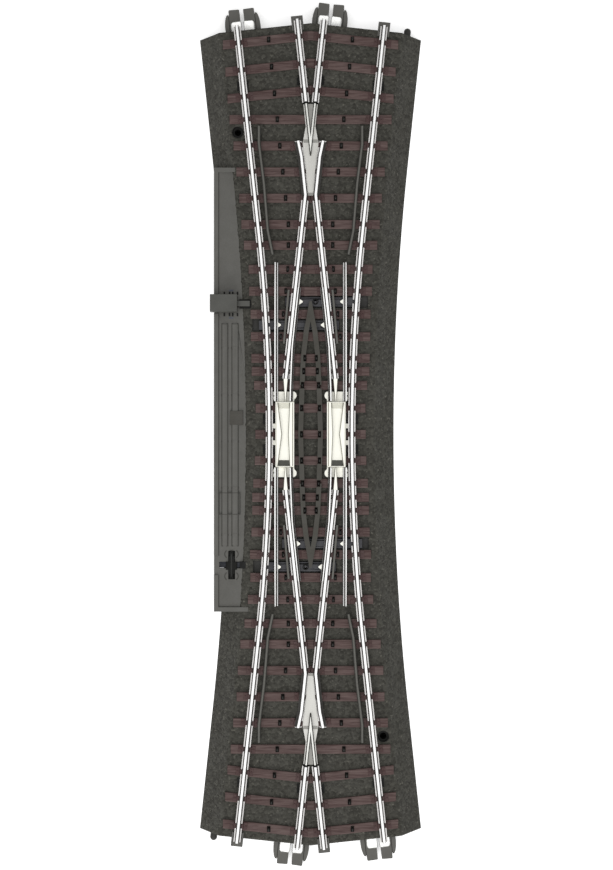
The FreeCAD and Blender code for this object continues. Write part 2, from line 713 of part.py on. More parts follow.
# ---------------------------------------------------------------- blades
def make_blade(label, heel, path, foot_edge, taper, bar_y, sign_x, sign_y):
    """A switch blade, drawn about its heel pin in the north-west quarter.

    The rail that it closes on lies to the west of it, so it tapers on that side, and its
    foot, its tab and its drive pin are on the east side.
    """
    body = new_body(label)
    head = dim("head_half")
    tip_x, tip_y = path[-1]
    west = offset_side(path, -head)[:-1]
    if path[-2][1] < TAPER_START:
        west.append((path_x(path, TAPER_START) - head, TAPER_START))
    west.append((tip_x - head + taper, tip_y))
    west.reverse()

    def placed(points):
        return polygon(mirrored(points, sign_x, sign_y))

    bore = circle(0, 0, dim("heel_bore_radius"))
    foot = placed(offset_side(path, foot_edge) + west)
    add_layer(body, "foot", [foot, bore], "blade_low", "blade_foot_top")
    add_layer(body, "head", [placed(offset_side(path, head) + west), bore], "blade_foot_top", "rail_top")
    pin_y = bar_y - dim("heel_y")
    centre_x = path_x(path, pin_y)
    tab = [(0.3, -0.95), (1.45, -0.15), (1.45, 0.15), (0.3, 0.95)]
    tab = [(centre_x + x, pin_y + y) for x, y in tab]
    add_layer(body, "tab", [placed(tab)], "blade_low", "blade_foot_top")
    add_layer(body, "drive_pin", [circle(sign_x * centre_x, sign_y * pin_y, dim("pin_radius"))],
              "pin_low", "blade_low")
    body.Placement = FreeCAD.Placement(
        FreeCAD.Vector(sign_x * heel[0], sign_y * heel[1], 0), FreeCAD.Rotation()
    )
    return body


def make_blades():
    heel_y = dim("heel_y")
    bars = (dim("outer_bar_y"), dim("inner_bar_y"))
    for corner, (sign_x, sign_y) in CORNERS.items():
        far_bar, near_bar = bars if sign_x * sign_y < 0 else bars[::-1]
        make_blade(f"outer_blade_{corner}", (-OUTER_HEEL_X, heel_y), OUTER_BLADE_PATH, 0.72, 0.15,
                   near_bar, -sign_x, sign_y)
        make_blade(f"inner_blade_{corner}", (-dim("slip_x"), heel_y), INNER_BLADE_PATH, 0.56, 0.1,
                   far_bar, -sign_x, sign_y)


def make_heel_pins():
    body = new_body("heel_pins")
    outlines = []
    for sign_x, sign_y in CORNERS.values():
        for x in (OUTER_HEEL_X, dim("slip_x")):
            outlines.append(circle(sign_x * x, sign_y * dim("heel_y"), dim("heel_pin_radius")))
    add_layer(body, "pins", outlines, "sleeper_top", "rail_top")
    return body


# ---------------------------------------------------------------- tie bars and linkage
def make_tie_bar(label, y, span, sign, inner_pin_x, outer_pin_x, link_pin_x):
    """A tie bar with a slot for each of its two blades' pins and its rocker's link pin."""
    body = new_body(label)
    half = dim("bar_width") / 2
    low, high = opposite(span, sign)
    outlines = [rectangle(low, high, sign * y - half, sign * y + half)]
    reach = dim("pin_slot_reach")
    for x in (inner_pin_x, outer_pin_x, link_pin_x):
        outlines.append(slot_along_y(sign * x, sign * y, dim("pin_slot_half"), reach))
    add_layer(body, "bar", outlines, "bar_low", "bar_top")
    return body


def make_tie_bars():
    far = dim("slip_x") - path_x(INNER_BLADE_PATH, dim("outer_bar_y") - dim("heel_y"))
    near = dim("slip_x") - path_x(INNER_BLADE_PATH, dim("inner_bar_y") - dim("heel_y"))
    outer_link = dim("rocker_x") - OUTER_TRAVEL / 2
    inner_link = dim("rocker_x") + dim("short_arm") * math.sin(ROCKER_HALF_SWING)
    for sign, name in ((1, "north"), (-1, "south")):
        make_tie_bar(f"outer_tie_bar_{name}", dim("outer_bar_y"), OUTER_BAR, sign,
                     -far, OUTER_HEEL_X, outer_link)
        make_tie_bar(f"inner_tie_bar_{name}", dim("inner_bar_y"), INNER_BAR, sign,
                     near, -OUTER_HEEL_X, inner_link)


def make_rocker(name, sign):
    """A three-armed rocker: two arms drive the tie bars and one the coupling rod."""
    body = new_body(f"rocker_{name}")
    spin = ROCKER_HALF_SWING
    long_tip = turned([(0, sign * dim("long_arm"))], spin)[0]
    short_tip = turned([(0, -sign * dim("short_arm"))], spin)[0]
    side_tip = turned([(-dim("side_arm"), 0)], spin)[0]
    hub = 1.7
    arm_half = 0.8
    bore = dim("post_radius") + 0.05
    for tip_name, tip in (("long", long_tip), ("short", short_tip), ("side", side_tip)):
        add_layer(body, f"{tip_name}_arm", [ribbon([(0, 0), tip], arm_half)], "rocker_low", "rocker_top")
        add_layer(body, f"{tip_name}_eye", [circle(tip[0], tip[1], arm_half)], "rocker_low", "rocker_top")
    add_layer(body, "hub", [circle(0, 0, hub)], "rocker_low", "rocker_top")
    cut_layer(body, "bore", [circle(0, 0, bore)], "rocker_low", "rocker_top")
    bar_pins = [circle(tip[0], tip[1], dim("pin_radius")) for tip in (long_tip, short_tip)]
    add_layer(body, "bar_pins", bar_pins, "rocker_top", "link_pin_top")
    rod_pins = [circle(side_tip[0], side_tip[1], dim("pin_radius"))]
    if sign > 0:
        rod_pins.append(circle(long_tip[0], long_tip[1], dim("pin_radius")))
    add_layer(body, "rod_pins", rod_pins, "link_pin_low", "rocker_low")
    body.Placement = FreeCAD.Placement(
        FreeCAD.Vector(sign * dim("rocker_x"), sign * dim("rocker_y"), 0), FreeCAD.Rotation()
    )
    return body


def make_rocker_posts():
    body = new_body("rocker_posts")
    posts = [circle(s * dim("rocker_x"), s * dim("rocker_y"), dim("post_radius")) for s in (1, -1)]
    add_layer(body, "posts", posts, "lid_top", "shell_under")
    collars = []
    for s in (1, -1):
        collars.append(circle(s * dim("rocker_x"), s * dim("rocker_y"), 1.5))
    add_layer(body, "collars", collars, "slider_low", "shell_under")
    return body


def make_coupling_rod():
    body = new_body("coupling_rod")
    side_tip = turned([(-dim("side_arm"), 0)], ROCKER_HALF_SWING)[0]
    ends = []
    for s in (1, -1):
        ends.append((s * dim("rocker_x") + side_tip[0], s * dim("rocker_y") + side_tip[1]))
    add_layer(body, "shaft", [ribbon(ends, 0.6)], "rod_low", "rod_top")
    add_layer(body, "eyes", [circle(x, y, 1.0) for x, y in ends], "rod_low", "rod_top")
    radii = (dim("pin_radius") + 0.05, dim("pin_radius") + 0.15)
    bores = [circle(x, y, radius) for (x, y), radius in zip(ends, radii)]
    cut_layer(body, "bores", bores, "rod_low", "rod_top")
    return body


# ---------------------------------------------------------------- hand lever and its rod
LEVER_BLOCK = (-28.9, -21.1)
LEVER_STEM = (-24.9, -23.4)


def make_hand_lever():
    body = new_body("hand_lever")
    y = dim("lever_y")
    half = 2.5
    west, east = LEVER_BLOCK
    block = [(west, y - half), (east, y - half), (east, y + half), (west, y + half)]
    add_layer(body, "block", [polygon(block)], "lever_low", "lever_top")
    add_layer(body, "arm", [rectangle(east, -17.5, y - 0.8, y + 0.8)], "lever_low", "foot_top")
    stem = rectangle(LEVER_STEM[0], LEVER_STEM[1], y - 0.7, y + 0.7)
    add_layer(body, "stem", [stem], "rod_top", "lever_low")
    return body


def make_push_rod():
    body = new_body("push_rod")
    y = dim("lever_y")
    pin = turned([(0, dim("long_arm"))], ROCKER_HALF_SWING)[0]
    pin_x = dim("rocker_x") + pin[0]
    pin_y = dim("rocker_y") + pin[1]
    shaft = rectangle(LEVER_STEM[0], pin_x + 1.2, y - 0.7, y + 1.7)
    rise = dim("long_arm") * (1 - math.cos(ROCKER_HALF_SWING))
    slot = slot_along_y(pin_x, pin_y + rise / 2, dim("pin_radius") + 0.08, rise / 2 + 0.05)
    add_layer(body, "shaft", [shaft, slot], "rod_low", "rod_top")
    for number, x in enumerate((-12.0, -12.0 - OUTER_TRAVEL)):
        notch = [(x - 0.75, y - 0.71), (x, y - 0.1), (x + 0.75, y - 0.71)]
        cut_layer(body, f"notch_{number}", [polygon(notch)], "rod_low", "rod_top")
    return body


def make_detent_spring():
    """A leaf spring whose nose drops into one of the push rod's two notches."""
    body = new_body("detent_spring")
    y = dim("lever_y") - 0.7
    leaf = [(-17.0, y - 2.6), (-14.6, y - 0.75), (-12.9, y - 0.75), (-12.0, y + 0.2),
            (-11.1, y - 0.75), (-9.4, y - 0.75), (-7.0, y - 2.6)]
    add_layer(body, "leaf", [ribbon(leaf, 0.15)], "rod_low", "rod_top")
    return body


def make_drive_slider():
    """The rod that carries the south outer tie bar's motion to the socket."""
    body = new_body("drive_slider")
    y = -dim("outer_bar_y")
    low, high = SLIDER_SPAN
    rod = rectangle(low, high, y - SLIDER_HALF, y + SLIDER_HALF)
    add_layer(body, "rod", [rod], "slider_low", "slider_top")
    add_layer(body, "pin", [circle(SLIDER_PIN_X, y, 0.6)], "slider_top", "bar_low")
    return body


# ---------------------------------------------------------------- drive housing
def make_drive_cover():
    """The housing beside the roadbed: deck, outer walls, rim and raised dummy rodding."""
    body = new_body("drive_cover_blank")
    west = -dim("deck_west")
    north = dim("deck_north")
    south = -dim("deck_south")
    wall = dim("deck_wall")
    inner = -14.0
    add_layer(body, "deck", [rectangle(west, inner, south, north)], "shell_under", "deck_top")
    walls = [(west, south), (inner, south), (inner, south + wall), (west + wall, south + wall),
             (west + wall, north - wall), (inner, north - wall), (inner, north), (west, north)]
    add_layer(body, "walls", [polygon(walls)], "ground", "shell_under")
    lever = dim("lever_y")
    rims = [
        [(west, south), (-18.0, south), (-18.0, south + wall), (west + wall, south + wall),
         (west + wall, -40.6), (west, -40.6)],
        [(west, -35.1), (west + wall, -35.1), (west + wall, lever - 2.8), (west, lever - 2.8)],
        [(west, lever + 2.8), (west + wall, lever + 2.8), (west + wall, north - wall),
         (-21.8, north - wall), (-21.8, north), (west, north)],
    ]
    add_layer(body, "rim", [polygon(points) for points in rims], "deck_top", "rim_top")
    rods = []
    for low, high in ((-25.5, -24.0), (-22.6, -21.0)):
        rods.append(rectangle(low, high, -32.1, 31.8))
    add_layer(body, "dummy_rods", rods, "deck_top", "relief_top")
    add_layer(body, "dummy_box", [rectangle(-23.2, -19.6, 2.8, 6.7)], "relief_top", "rim_top")
    stem_west = LEVER_STEM[0] - 0.4
    stem_east = LEVER_STEM[1] + OUTER_TRAVEL + 0.4
    stem_slot = rectangle(stem_west, stem_east, lever - 1.0, lever + 1.0)
    cut_layer(body, "lever_slot", [stem_slot], "shell_under", "deck_top")
    socket_y = -dim("outer_bar_y") + 0.45
    window = [rectangle(-26.4, -18.5, socket_y - 0.95, socket_y + 0.95)]
    cut_layer(body, "slider_window", window, "shell_under", "rim_top")
    cross = [rectangle(-23.75, -21.85, socket_y - 4.1, socket_y + 4.1)]
    cut_layer(body, "socket_window", cross, "shell_under", "deck_top")

    PARTS.remove(body)
    solid_bed = doc.addObject("PartDesign::Body", "roadbed_envelope")
    solid_bed.Label = "roadbed_envelope"
    envelope = solid_bed.newObject("PartDesign::AdditiveLoft", "envelope")
    envelope.Profile = sketch_at(solid_bed, "envelope_foot", "ground", [waist_outline(dim("base_half"))])
    envelope.Sections = [
        sketch_at(solid_bed, "envelope_top", "bed_top", [waist_outline(dim("top_half"))])
    ]
    envelope.Ruled = True
    cover = doc.addObject("Part::Cut", "drive_cover")
    cover.Base = body
    cover.Tool = solid_bed
    cover.Label = "drive_cover"
    PARTS.append(cover)
    return cover


def make_socket():
    """The cross-shaped socket that a signal lantern or a point motor plugs into."""
    body = new_body("lantern_socket")
    y = -dim("outer_bar_y") + 0.45
    x = -22.8
    long_half = 4.05
    bar = [
        (x - 0.65, y + 1.0), (x - 0.65, y + long_half), (x + 0.65, y + long_half), (x + 0.65, y + 1.0),
        (x + 0.9, y + 1.0), (x + 0.9, y - 1.0), (x + 0.65, y - 1.0), (x + 0.65, y - long_half),
        (x - 0.65, y - long_half), (x - 0.65, y - 1.0), (x - 0.9, y - 1.0), (x - 0.9, y + 1.0),
    ]
    add_layer(body, "bar", [polygon(bar)], "shell_under", "relief_top")
    add_layer(body, "hub", [rectangle(x - 0.9, x + 0.9, y - 2.6, y + 2.6)], "shell_under", "rim_top")
    return body


# ---------------------------------------------------------------- guide, guards
def make_centre_guide():
    """The diamond rib that keeps pickup shoes clear of the crossing's rails."""
    body = new_body("centre_guide")
    outside = [
        (0.35, 38.3), (0.8, 35.8), (1.35, 32.7), (1.98, 29.7), (2.8, 22.2), (3.15, 14.2), (3.55, 0.0),
    ]
    inside = [(0.0, 32.4), (0.5, 29.7), (1.4, 22.2), (1.7, 14.2), (2.15, 0.0)]

    def ring(half):
        north_east = half
        south_east = mirrored(half[-2::-1], 1, -1)
        east = north_east + south_east
        west = mirrored(east[::-1], -1, 1)
        points = east + west
        return [p for p, q in zip(points, points[1:] + points[:1]) if p != q]

    add_layer(body, "diamond", [polygon(ring(outside)), polygon(ring(inside))], "sleeper_top", "guide_top")
    arches = []
    for sign in (1, -1):
        for y in (dim("outer_bar_y"), dim("inner_bar_y")):
            half = dim("trough_width") / 2
            arches.append(rectangle(-4.0, 4.0, sign * y - half, sign * y + half))
    cut_layer(body, "arches", arches, "sleeper_top", "arch_top")
    windows = []
    for along, across in STUDS:
        if across < 3.0:
            for sign_y in both_ways(along):
                for sign_x in (1, -1):
                    x = sign_x * across
                    y = sign_y * along
                    windows.append(rectangle(x - 0.42, x + 0.42, y - 0.95, y + 0.95))
    cut_layer(body, "stud_windows", windows, "sleeper_top", "guide_top")
    return body


def make_blade_guards():
    body = new_body("blade_guards")
    outlines = []
    for sign_x, sign_y in CORNERS.values():
        path = mirrored([(6.3, 41.6), (7.67, 26.1)], sign_x, sign_y)
        outlines.append(ribbon(path, 0.31))
    add_layer(body, "ribs", outlines, "sleeper_top", "guard_top")
    return body


# ---------------------------------------------------------------- ends
def end_polygon(points, end):
    """Points given across the track and outwards from the end plane, set at an end."""
    reach = dim("track_reach")
    return polygon(turned([(x, y + reach) for x, y in points], ENDS[end]))


def make_track_clip(end):
    body = new_body(f"track_clip_{end}")
    half = [
        (0.72, 3.1), (0.72, 6.5), (3.6, 6.6), (4.1, 5.6), (4.6, 5.0), (5.1, 0.0), (3.3, 0.0), (3.3, 3.1),
    ]
    centre = CLIP_SIDE * dim("joint_offset")
    prongs = []
    for side in (1, -1):
        prongs.append(end_polygon([(centre + side * x, y) for x, y in half], end))
    add_layer(body, "prongs", prongs, "clip_low", "clip_top")
    return body


def make_joiner_contacts():
    body = new_body("joiner_contacts")
    centre = CLIP_SIDE * dim("joint_offset")
    outlines = []
    for end in ENDS:
        for low, high in ((-2.6, -0.4), (0.2, 2.4)):
            west = centre + low
            east = centre + high
            blade = [(west, 0), (east, 0), (east - 0.2, 2.9), (west + 0.2, 2.9)]
            outlines.append(end_polygon(blade, end))
    add_layer(body, "tongues", outlines, "clip_top", "contact_top")
    return body


def make_joint_tongues():
    """Shelves under the rail ends, with a cheek on the bed along each side of the rail."""
    body = new_body("joint_tongues")
    centre = dim("rail_offset")
    half = dim("tongue_half")
    reach = dim("tongue_reach")
    cheek_back = -1.75
    cheek_in = dim("foot_half") + 0.15
    shelves = []
    cheeks = []
    for end in ENDS:
        shelf = [(centre - half, 0), (centre + half, 0), (centre + half, reach), (centre - half, reach)]
        shelves.append(end_polygon(shelf, end))
        for side in (1, -1):
            inner = centre + side * cheek_in
            outer = centre + side * half
            cheek = [(inner, cheek_back), (outer, cheek_back), (outer, 0), (inner, 0)]
            cheeks.append(end_polygon(cheek, end))
    add_layer(body, "shelves", shelves, "tongue_low", "tongue_top")
    add_layer(body, "cheeks", cheeks, "bed_top", "tongue_top")
    return body


def make_alignment_pegs():
    """Two round pegs with domed tips that stand out of the end planes."""
    pegs = []
    shank = dim("peg_reach") - dim("peg_radius")
    for end, side in PEG_ENDS.items():
        barrel = doc.addObject("Part::Cylinder", f"barrel_{end}")
        barrel.setExpression("Radius", "dims.peg_radius")
        barrel.setExpression("Height", "dims.peg_reach - dims.peg_radius")
        start = turned([(side * dim("peg_offset"), dim("track_reach"))], ENDS[end])[0]
        spin = FreeCAD.Rotation(FreeCAD.Vector(0, 0, 1), math.degrees(ENDS[end]))
        tip = FreeCAD.Rotation(FreeCAD.Vector(1, 0, 0), -90)
        barrel.Placement = FreeCAD.Placement(
            FreeCAD.Vector(start[0], start[1], dim("peg_height")), spin.multiply(tip)
        )
        centre = turned([(side * dim("peg_offset"), dim("track_reach") + shank)], ENDS[end])[0]
        dome = doc.addObject("Part::Sphere", f"dome_{end}")
        dome.setExpression("Radius", "dims.peg_radius")
        dome.Placement = FreeCAD.Placement(
            FreeCAD.Vector(centre[0], centre[1], dim("peg_height")), spin.multiply(tip)
        )
        peg = doc.addObject("Part::Fuse", f"peg_{end}")
        peg.Base = barrel
        peg.Tool = dome
        pegs.append(peg)
    both = doc.addObject("Part::Compound", "alignment_pegs")
    both.Links = pegs
    both.Label = "alignment_pegs"
    PARTS.append(both)
    return both


# ---------------------------------------------------------------- underside
def make_mechanism_cover():
    body = new_body("mechanism_cover")
    half_x = dim("lid_half_x")
    half_y = dim("lid_half_y")
    holes = cover_screw_circles(dim("lid_screw_radius") + 0.05)
    add_layer(body, "plate", [rectangle(-half_x, half_x, -half_y, half_y)] + holes, "lid_low", "lid_top")
    return body


def make_cover_screws():
    body = new_body("cover_screws")
    head_radius = 1.3
    add_layer(body, "heads", cover_screw_circles(head_radius), "lid_screw_head_low", "lid_low")
    add_layer(body, "shanks", cover_screw_circles(dim("lid_screw_radius")), "lid_low", "lid_screw_tip")
    return body


# ---------------------------------------------------------------- the assembly
make_roadbed()
make_sleepers()
make_studs()
make_conductor()
make_stock_rail("stock_rail_west", -1)
make_stock_rail("stock_rail_east", 1)
for corner_name in CORNERS:
    make_end_rail(corner_name)
    make_wing_rail(corner_name)
    make_check_rail(corner_name)
for way in (1, -1):
    make_frog_plate(way)
    make_frog_nose(way)
make_insulators()
make_crossing("crossing_west", -1)
make_crossing("crossing_east", 1)
make_blades()
make_heel_pins()
make_tie_bars()
make_rocker("north", 1)
make_rocker("south", -1)
make_rocker_posts()
make_coupling_rod()
make_hand_lever()
make_push_rod()
make_detent_spring()
make_drive_slider()
make_drive_cover()
make_socket()
make_centre_guide()
make_blade_guards()
for end_name in ENDS:
    make_track_clip(end_name)
make_joiner_contacts()
make_joint_tongues()
make_alignment_pegs()
make_mechanism_cover()
make_cover_screws()
doc.recompute()

problems = []
for item in doc.Objects:
    if "Invalid" in item.State or "Error" in item.State:
        problems.append(f"{item.Label}: {item.State}")
for item in PARTS:
    if item.Shape.isNull() or not item.Shape.isValid():
        problems.append(f"{item.Label}: bad shape")
if problems:
    raise RuntimeError("; ".join(problems))

os.makedirs("parts", exist_ok=True)
for item in PARTS:
    item.Shape.exportStep(f"parts/{item.Label}.step")
print(len(PARTS), "sub-parts")
for item in PARTS:
    box = item.Shape.BoundBox
    print(f"{item.Label:24s} solids {len(item.Shape.Solids):3d} volume {item.Shape.Volume:9.2f} "
          f"z {box.ZMin:6.2f}..{box.ZMax:6.2f}")
print(f"outer travel {OUTER_TRAVEL:.4f}, inner travel {INNER_TRAVEL:.4f}, "
      f"rocker half swing {math.degrees(ROCKER_HALF_SWING):.4f}")
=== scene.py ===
"""Looks of the H0 double slip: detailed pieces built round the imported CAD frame.

Working values are millimetres in the part's own frame, and meshes are scaled to metres when made.
"""
import bmesh
import bpy
import json
import math
import random
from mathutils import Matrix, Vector, noise

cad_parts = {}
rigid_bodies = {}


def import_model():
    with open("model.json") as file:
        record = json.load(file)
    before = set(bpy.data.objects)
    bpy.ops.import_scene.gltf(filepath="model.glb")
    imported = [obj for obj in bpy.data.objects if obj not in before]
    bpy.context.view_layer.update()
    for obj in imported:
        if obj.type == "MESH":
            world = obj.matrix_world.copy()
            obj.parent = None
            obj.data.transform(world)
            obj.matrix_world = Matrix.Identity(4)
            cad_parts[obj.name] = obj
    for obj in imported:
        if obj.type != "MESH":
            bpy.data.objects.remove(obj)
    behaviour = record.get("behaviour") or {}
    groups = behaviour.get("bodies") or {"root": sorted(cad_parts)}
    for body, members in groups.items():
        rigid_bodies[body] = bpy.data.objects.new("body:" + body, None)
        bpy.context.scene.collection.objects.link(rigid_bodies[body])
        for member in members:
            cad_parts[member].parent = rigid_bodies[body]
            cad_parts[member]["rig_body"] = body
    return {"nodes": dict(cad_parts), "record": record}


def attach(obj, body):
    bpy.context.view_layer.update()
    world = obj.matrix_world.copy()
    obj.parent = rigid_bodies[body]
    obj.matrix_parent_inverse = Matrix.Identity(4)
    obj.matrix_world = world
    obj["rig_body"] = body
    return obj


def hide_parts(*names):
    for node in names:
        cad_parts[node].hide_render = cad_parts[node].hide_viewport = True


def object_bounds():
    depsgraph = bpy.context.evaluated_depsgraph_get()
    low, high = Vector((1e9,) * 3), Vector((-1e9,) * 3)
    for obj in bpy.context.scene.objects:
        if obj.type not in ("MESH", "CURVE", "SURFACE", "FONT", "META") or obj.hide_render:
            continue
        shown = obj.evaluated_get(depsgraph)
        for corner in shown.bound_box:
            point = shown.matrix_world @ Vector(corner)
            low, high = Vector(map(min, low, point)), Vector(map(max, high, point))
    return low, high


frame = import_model()
CAD_LOW, CAD_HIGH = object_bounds()
MM = 0.001
random.seed(7)

# ---------------------------------------------------------------- the part's own dimensions
ANGLE = math.radians(6.05)
LEAN = math.tan(ANGLE)
REACH = 118.05
RAIL = 8.725
RAIL_X = RAIL / math.cos(ANGLE)
STOCK_RADIUS = 553.05
BASE_HALF = 20.0
TOP_HALF = 14.0
WAIST_RADIUS = 748.2
DECK_TOP = 6.9
BED_TOP = 7.2
SLEEPER_TOP = 8.0
FOOT_TOP = 8.4
RAIL_TOP = 10.3
HEEL_Y = 11.15
SLIP_X = 5.6
OUTER_HEEL_X = RAIL_X + LEAN * HEEL_Y
OUTER_BAR_Y = 38.2
INNER_BAR_Y = 31.5
TROUGH_HALF = 1.7
K_REACH = 9.2
LEVER_Y = 37.7
INSULATOR_Y = 95.3
SCREW = (21.0, 87.2)
SCREW_RECESS = 1.65
CORNERS = {"nw": (-1, 1), "ne": (1, 1), "sw": (-1, -1), "se": (1, -1)}
ENDS = {"nw": ANGLE, "ne": -ANGLE, "se": math.pi + ANGLE, "sw": math.pi - ANGLE}
INNER_BLADE_PATH = [(0.0, -1.6), (0.1, 2.85), (0.55, 13.85), (2.36, 31.05)]
OUTER_BLADE_PATH = [(0.0, -1.6), (0.0, 38.25)]


# ---------------------------------------------------------------- plane geometry
def turned(point, angle):
    c = math.cos(angle)
    s = math.sin(angle)
    return (c * point[0] - s * point[1], s * point[0] + c * point[1])


def mirrored(points, sign_x, sign_y):
    return [(sign_x * p[0], sign_y * p[1]) for p in points]


def circle(x, y, radius, sides):
    turns = [2 * math.pi * i / sides for i in range(sides)]
    return [(x + radius * math.cos(t), y + radius * math.sin(t)) for t in turns]


def at_end(points, end):
    """Points given across the track and outwards from the end plane, set at an end."""
    return [turned((p[0], p[1] + REACH), ENDS[end]) for p in points]


def sideways(path):
    """Unit mitre vectors to the right of a path's points."""
    out = []
    for i in range(len(path)):
        normals = []
        for a, b in ((i - 1, i), (i, i + 1)):
            if a < 0 or b >= len(path):
                continue
            dx = path[b][0] - path[a][0]
            dy = path[b][1] - path[a][1]
            run = math.hypot(dx, dy)
            normals.append((dy / run, -dx / run))
        nx = sum(n[0] for n in normals)
        ny = sum(n[1] for n in normals)
        scale = len(normals) / (nx * nx + ny * ny)
        out.append((nx * scale, ny * scale))
    return out


def along(path, y):
    """The across value of a path at a distance y."""
    for (x0, y0), (x1, y1) in zip(path, path[1:]):
        if min(y0, y1) <= y <= max(y0, y1):
            return x0 + (x1 - x0) * (y - y0) / (y1 - y0)
    raise ValueError(y)


def inner_rail_point(y):
    return (-RAIL_X + LEAN * y, y)


# ---------------------------------------------------------------- materials
def linear(value):
    value /= 255
    return value / 12.92 if value <= 0.04045 else ((value + 0.055) / 1.055) ** 2.4


def rgba(colour):
    return tuple(linear(v) for v in colour) + (1.0,)


def material(name, colour, other, rough, metallic, size, relief, stretch=(1, 1, 1), spread=0.12,
             shine=0.3, stones=False, speck=None):
    """A procedural finish. size is its grain in millimetres and relief the height of its bumps."""
    made = bpy.data.materials.new(name)
    made.use_nodes = True
    nodes = made.node_tree.nodes
    links = made.node_tree.links
    shader = nodes["Principled BSDF"]
    shader.inputs["Metallic"].default_value = metallic
    shader.inputs["Specular IOR Level"].default_value = shine

    def add(kind, values, placed=False, coloured=False):
        node = nodes.new("ShaderNode" + kind)
        if coloured:
            node.data_type = "RGBA"
        for socket, value in values.items():
            node.inputs[socket].default_value = value
        if placed:
            links.new(fit.outputs["Vector"], node.inputs["Vector"])
        return node

    place = add("TexCoord", {})
    fit = add("Mapping", {"Scale": stretch})
    links.new(place.outputs["Object"], fit.inputs["Vector"])
    grain = add("TexNoise", {"Scale": 1000 / size, "Detail": 6, "Roughness": 0.6}, placed=True)
    patch = add("TexNoise", {"Scale": 1000 / (size * 9), "Detail": 3}, placed=True)
    blend = add("Mix", {"A": rgba(colour), "B": rgba(other)}, coloured=True)
    low, high = (0.0, 1.0) if stones else (0.35, 0.68)
    ramp = add("MapRange", {"From Min": low, "From Max": high})
    links.new(ramp.outputs["Result"], blend.inputs["Factor"])
    colour_out = blend.outputs["Result"]
    height = grain.outputs["Fac"]
    if stones:
        cells = add("TexVoronoi", {"Scale": 1000 / size}, placed=True)
        tone = add("SeparateColor", {})
        links.new(cells.outputs["Color"], tone.inputs["Color"])
        links.new(tone.outputs["Red"], ramp.inputs["Value"])
        pebble = add("Math", {1: -1.0})
        pebble.operation = "MULTIPLY_ADD"
        links.new(cells.outputs["Distance"], pebble.inputs[0])
        links.new(grain.outputs["Fac"], pebble.inputs[2])
        height = pebble.outputs["Value"]
    else:
        links.new(grain.outputs["Fac"], ramp.inputs["Value"])
    if speck:
        dots = add("TexNoise", {"Scale": 1000 / (size * 1.1), "Detail": 1}, placed=True)
        pick = add("MapRange", {"From Min": 0.64, "From Max": 0.80})
        links.new(dots.outputs["Fac"], pick.inputs["Value"])
        over = add("Mix", {"B": rgba(speck)}, coloured=True)
        links.new(pick.outputs["Result"], over.inputs["Factor"])
        links.new(colour_out, over.inputs["A"])
        colour_out = over.outputs["Result"]
    links.new(colour_out, shader.inputs["Base Color"])

    gloss = add("MapRange", {"From Min": 0.3, "From Max": 0.7,
                             "To Min": max(0.05, rough - spread), "To Max": min(1.0, rough + spread)})
    links.new(patch.outputs["Fac"], gloss.inputs["Value"])
    links.new(gloss.outputs["Result"], shader.inputs["Roughness"])
    bump = add("Bump", {"Strength": 1.0, "Distance": relief * MM})
    links.new(height, bump.inputs["Height"])
    links.new(bump.outputs["Normal"], shader.inputs["Normal"])
    return made


METAL = {"stretch": (3.0, 0.08, 1.0), "spread": 0.06}
CAST = {"stretch": (2.0, 0.3, 1.0)}
STONY = {"stones": True, "speck": (98, 96, 88)}
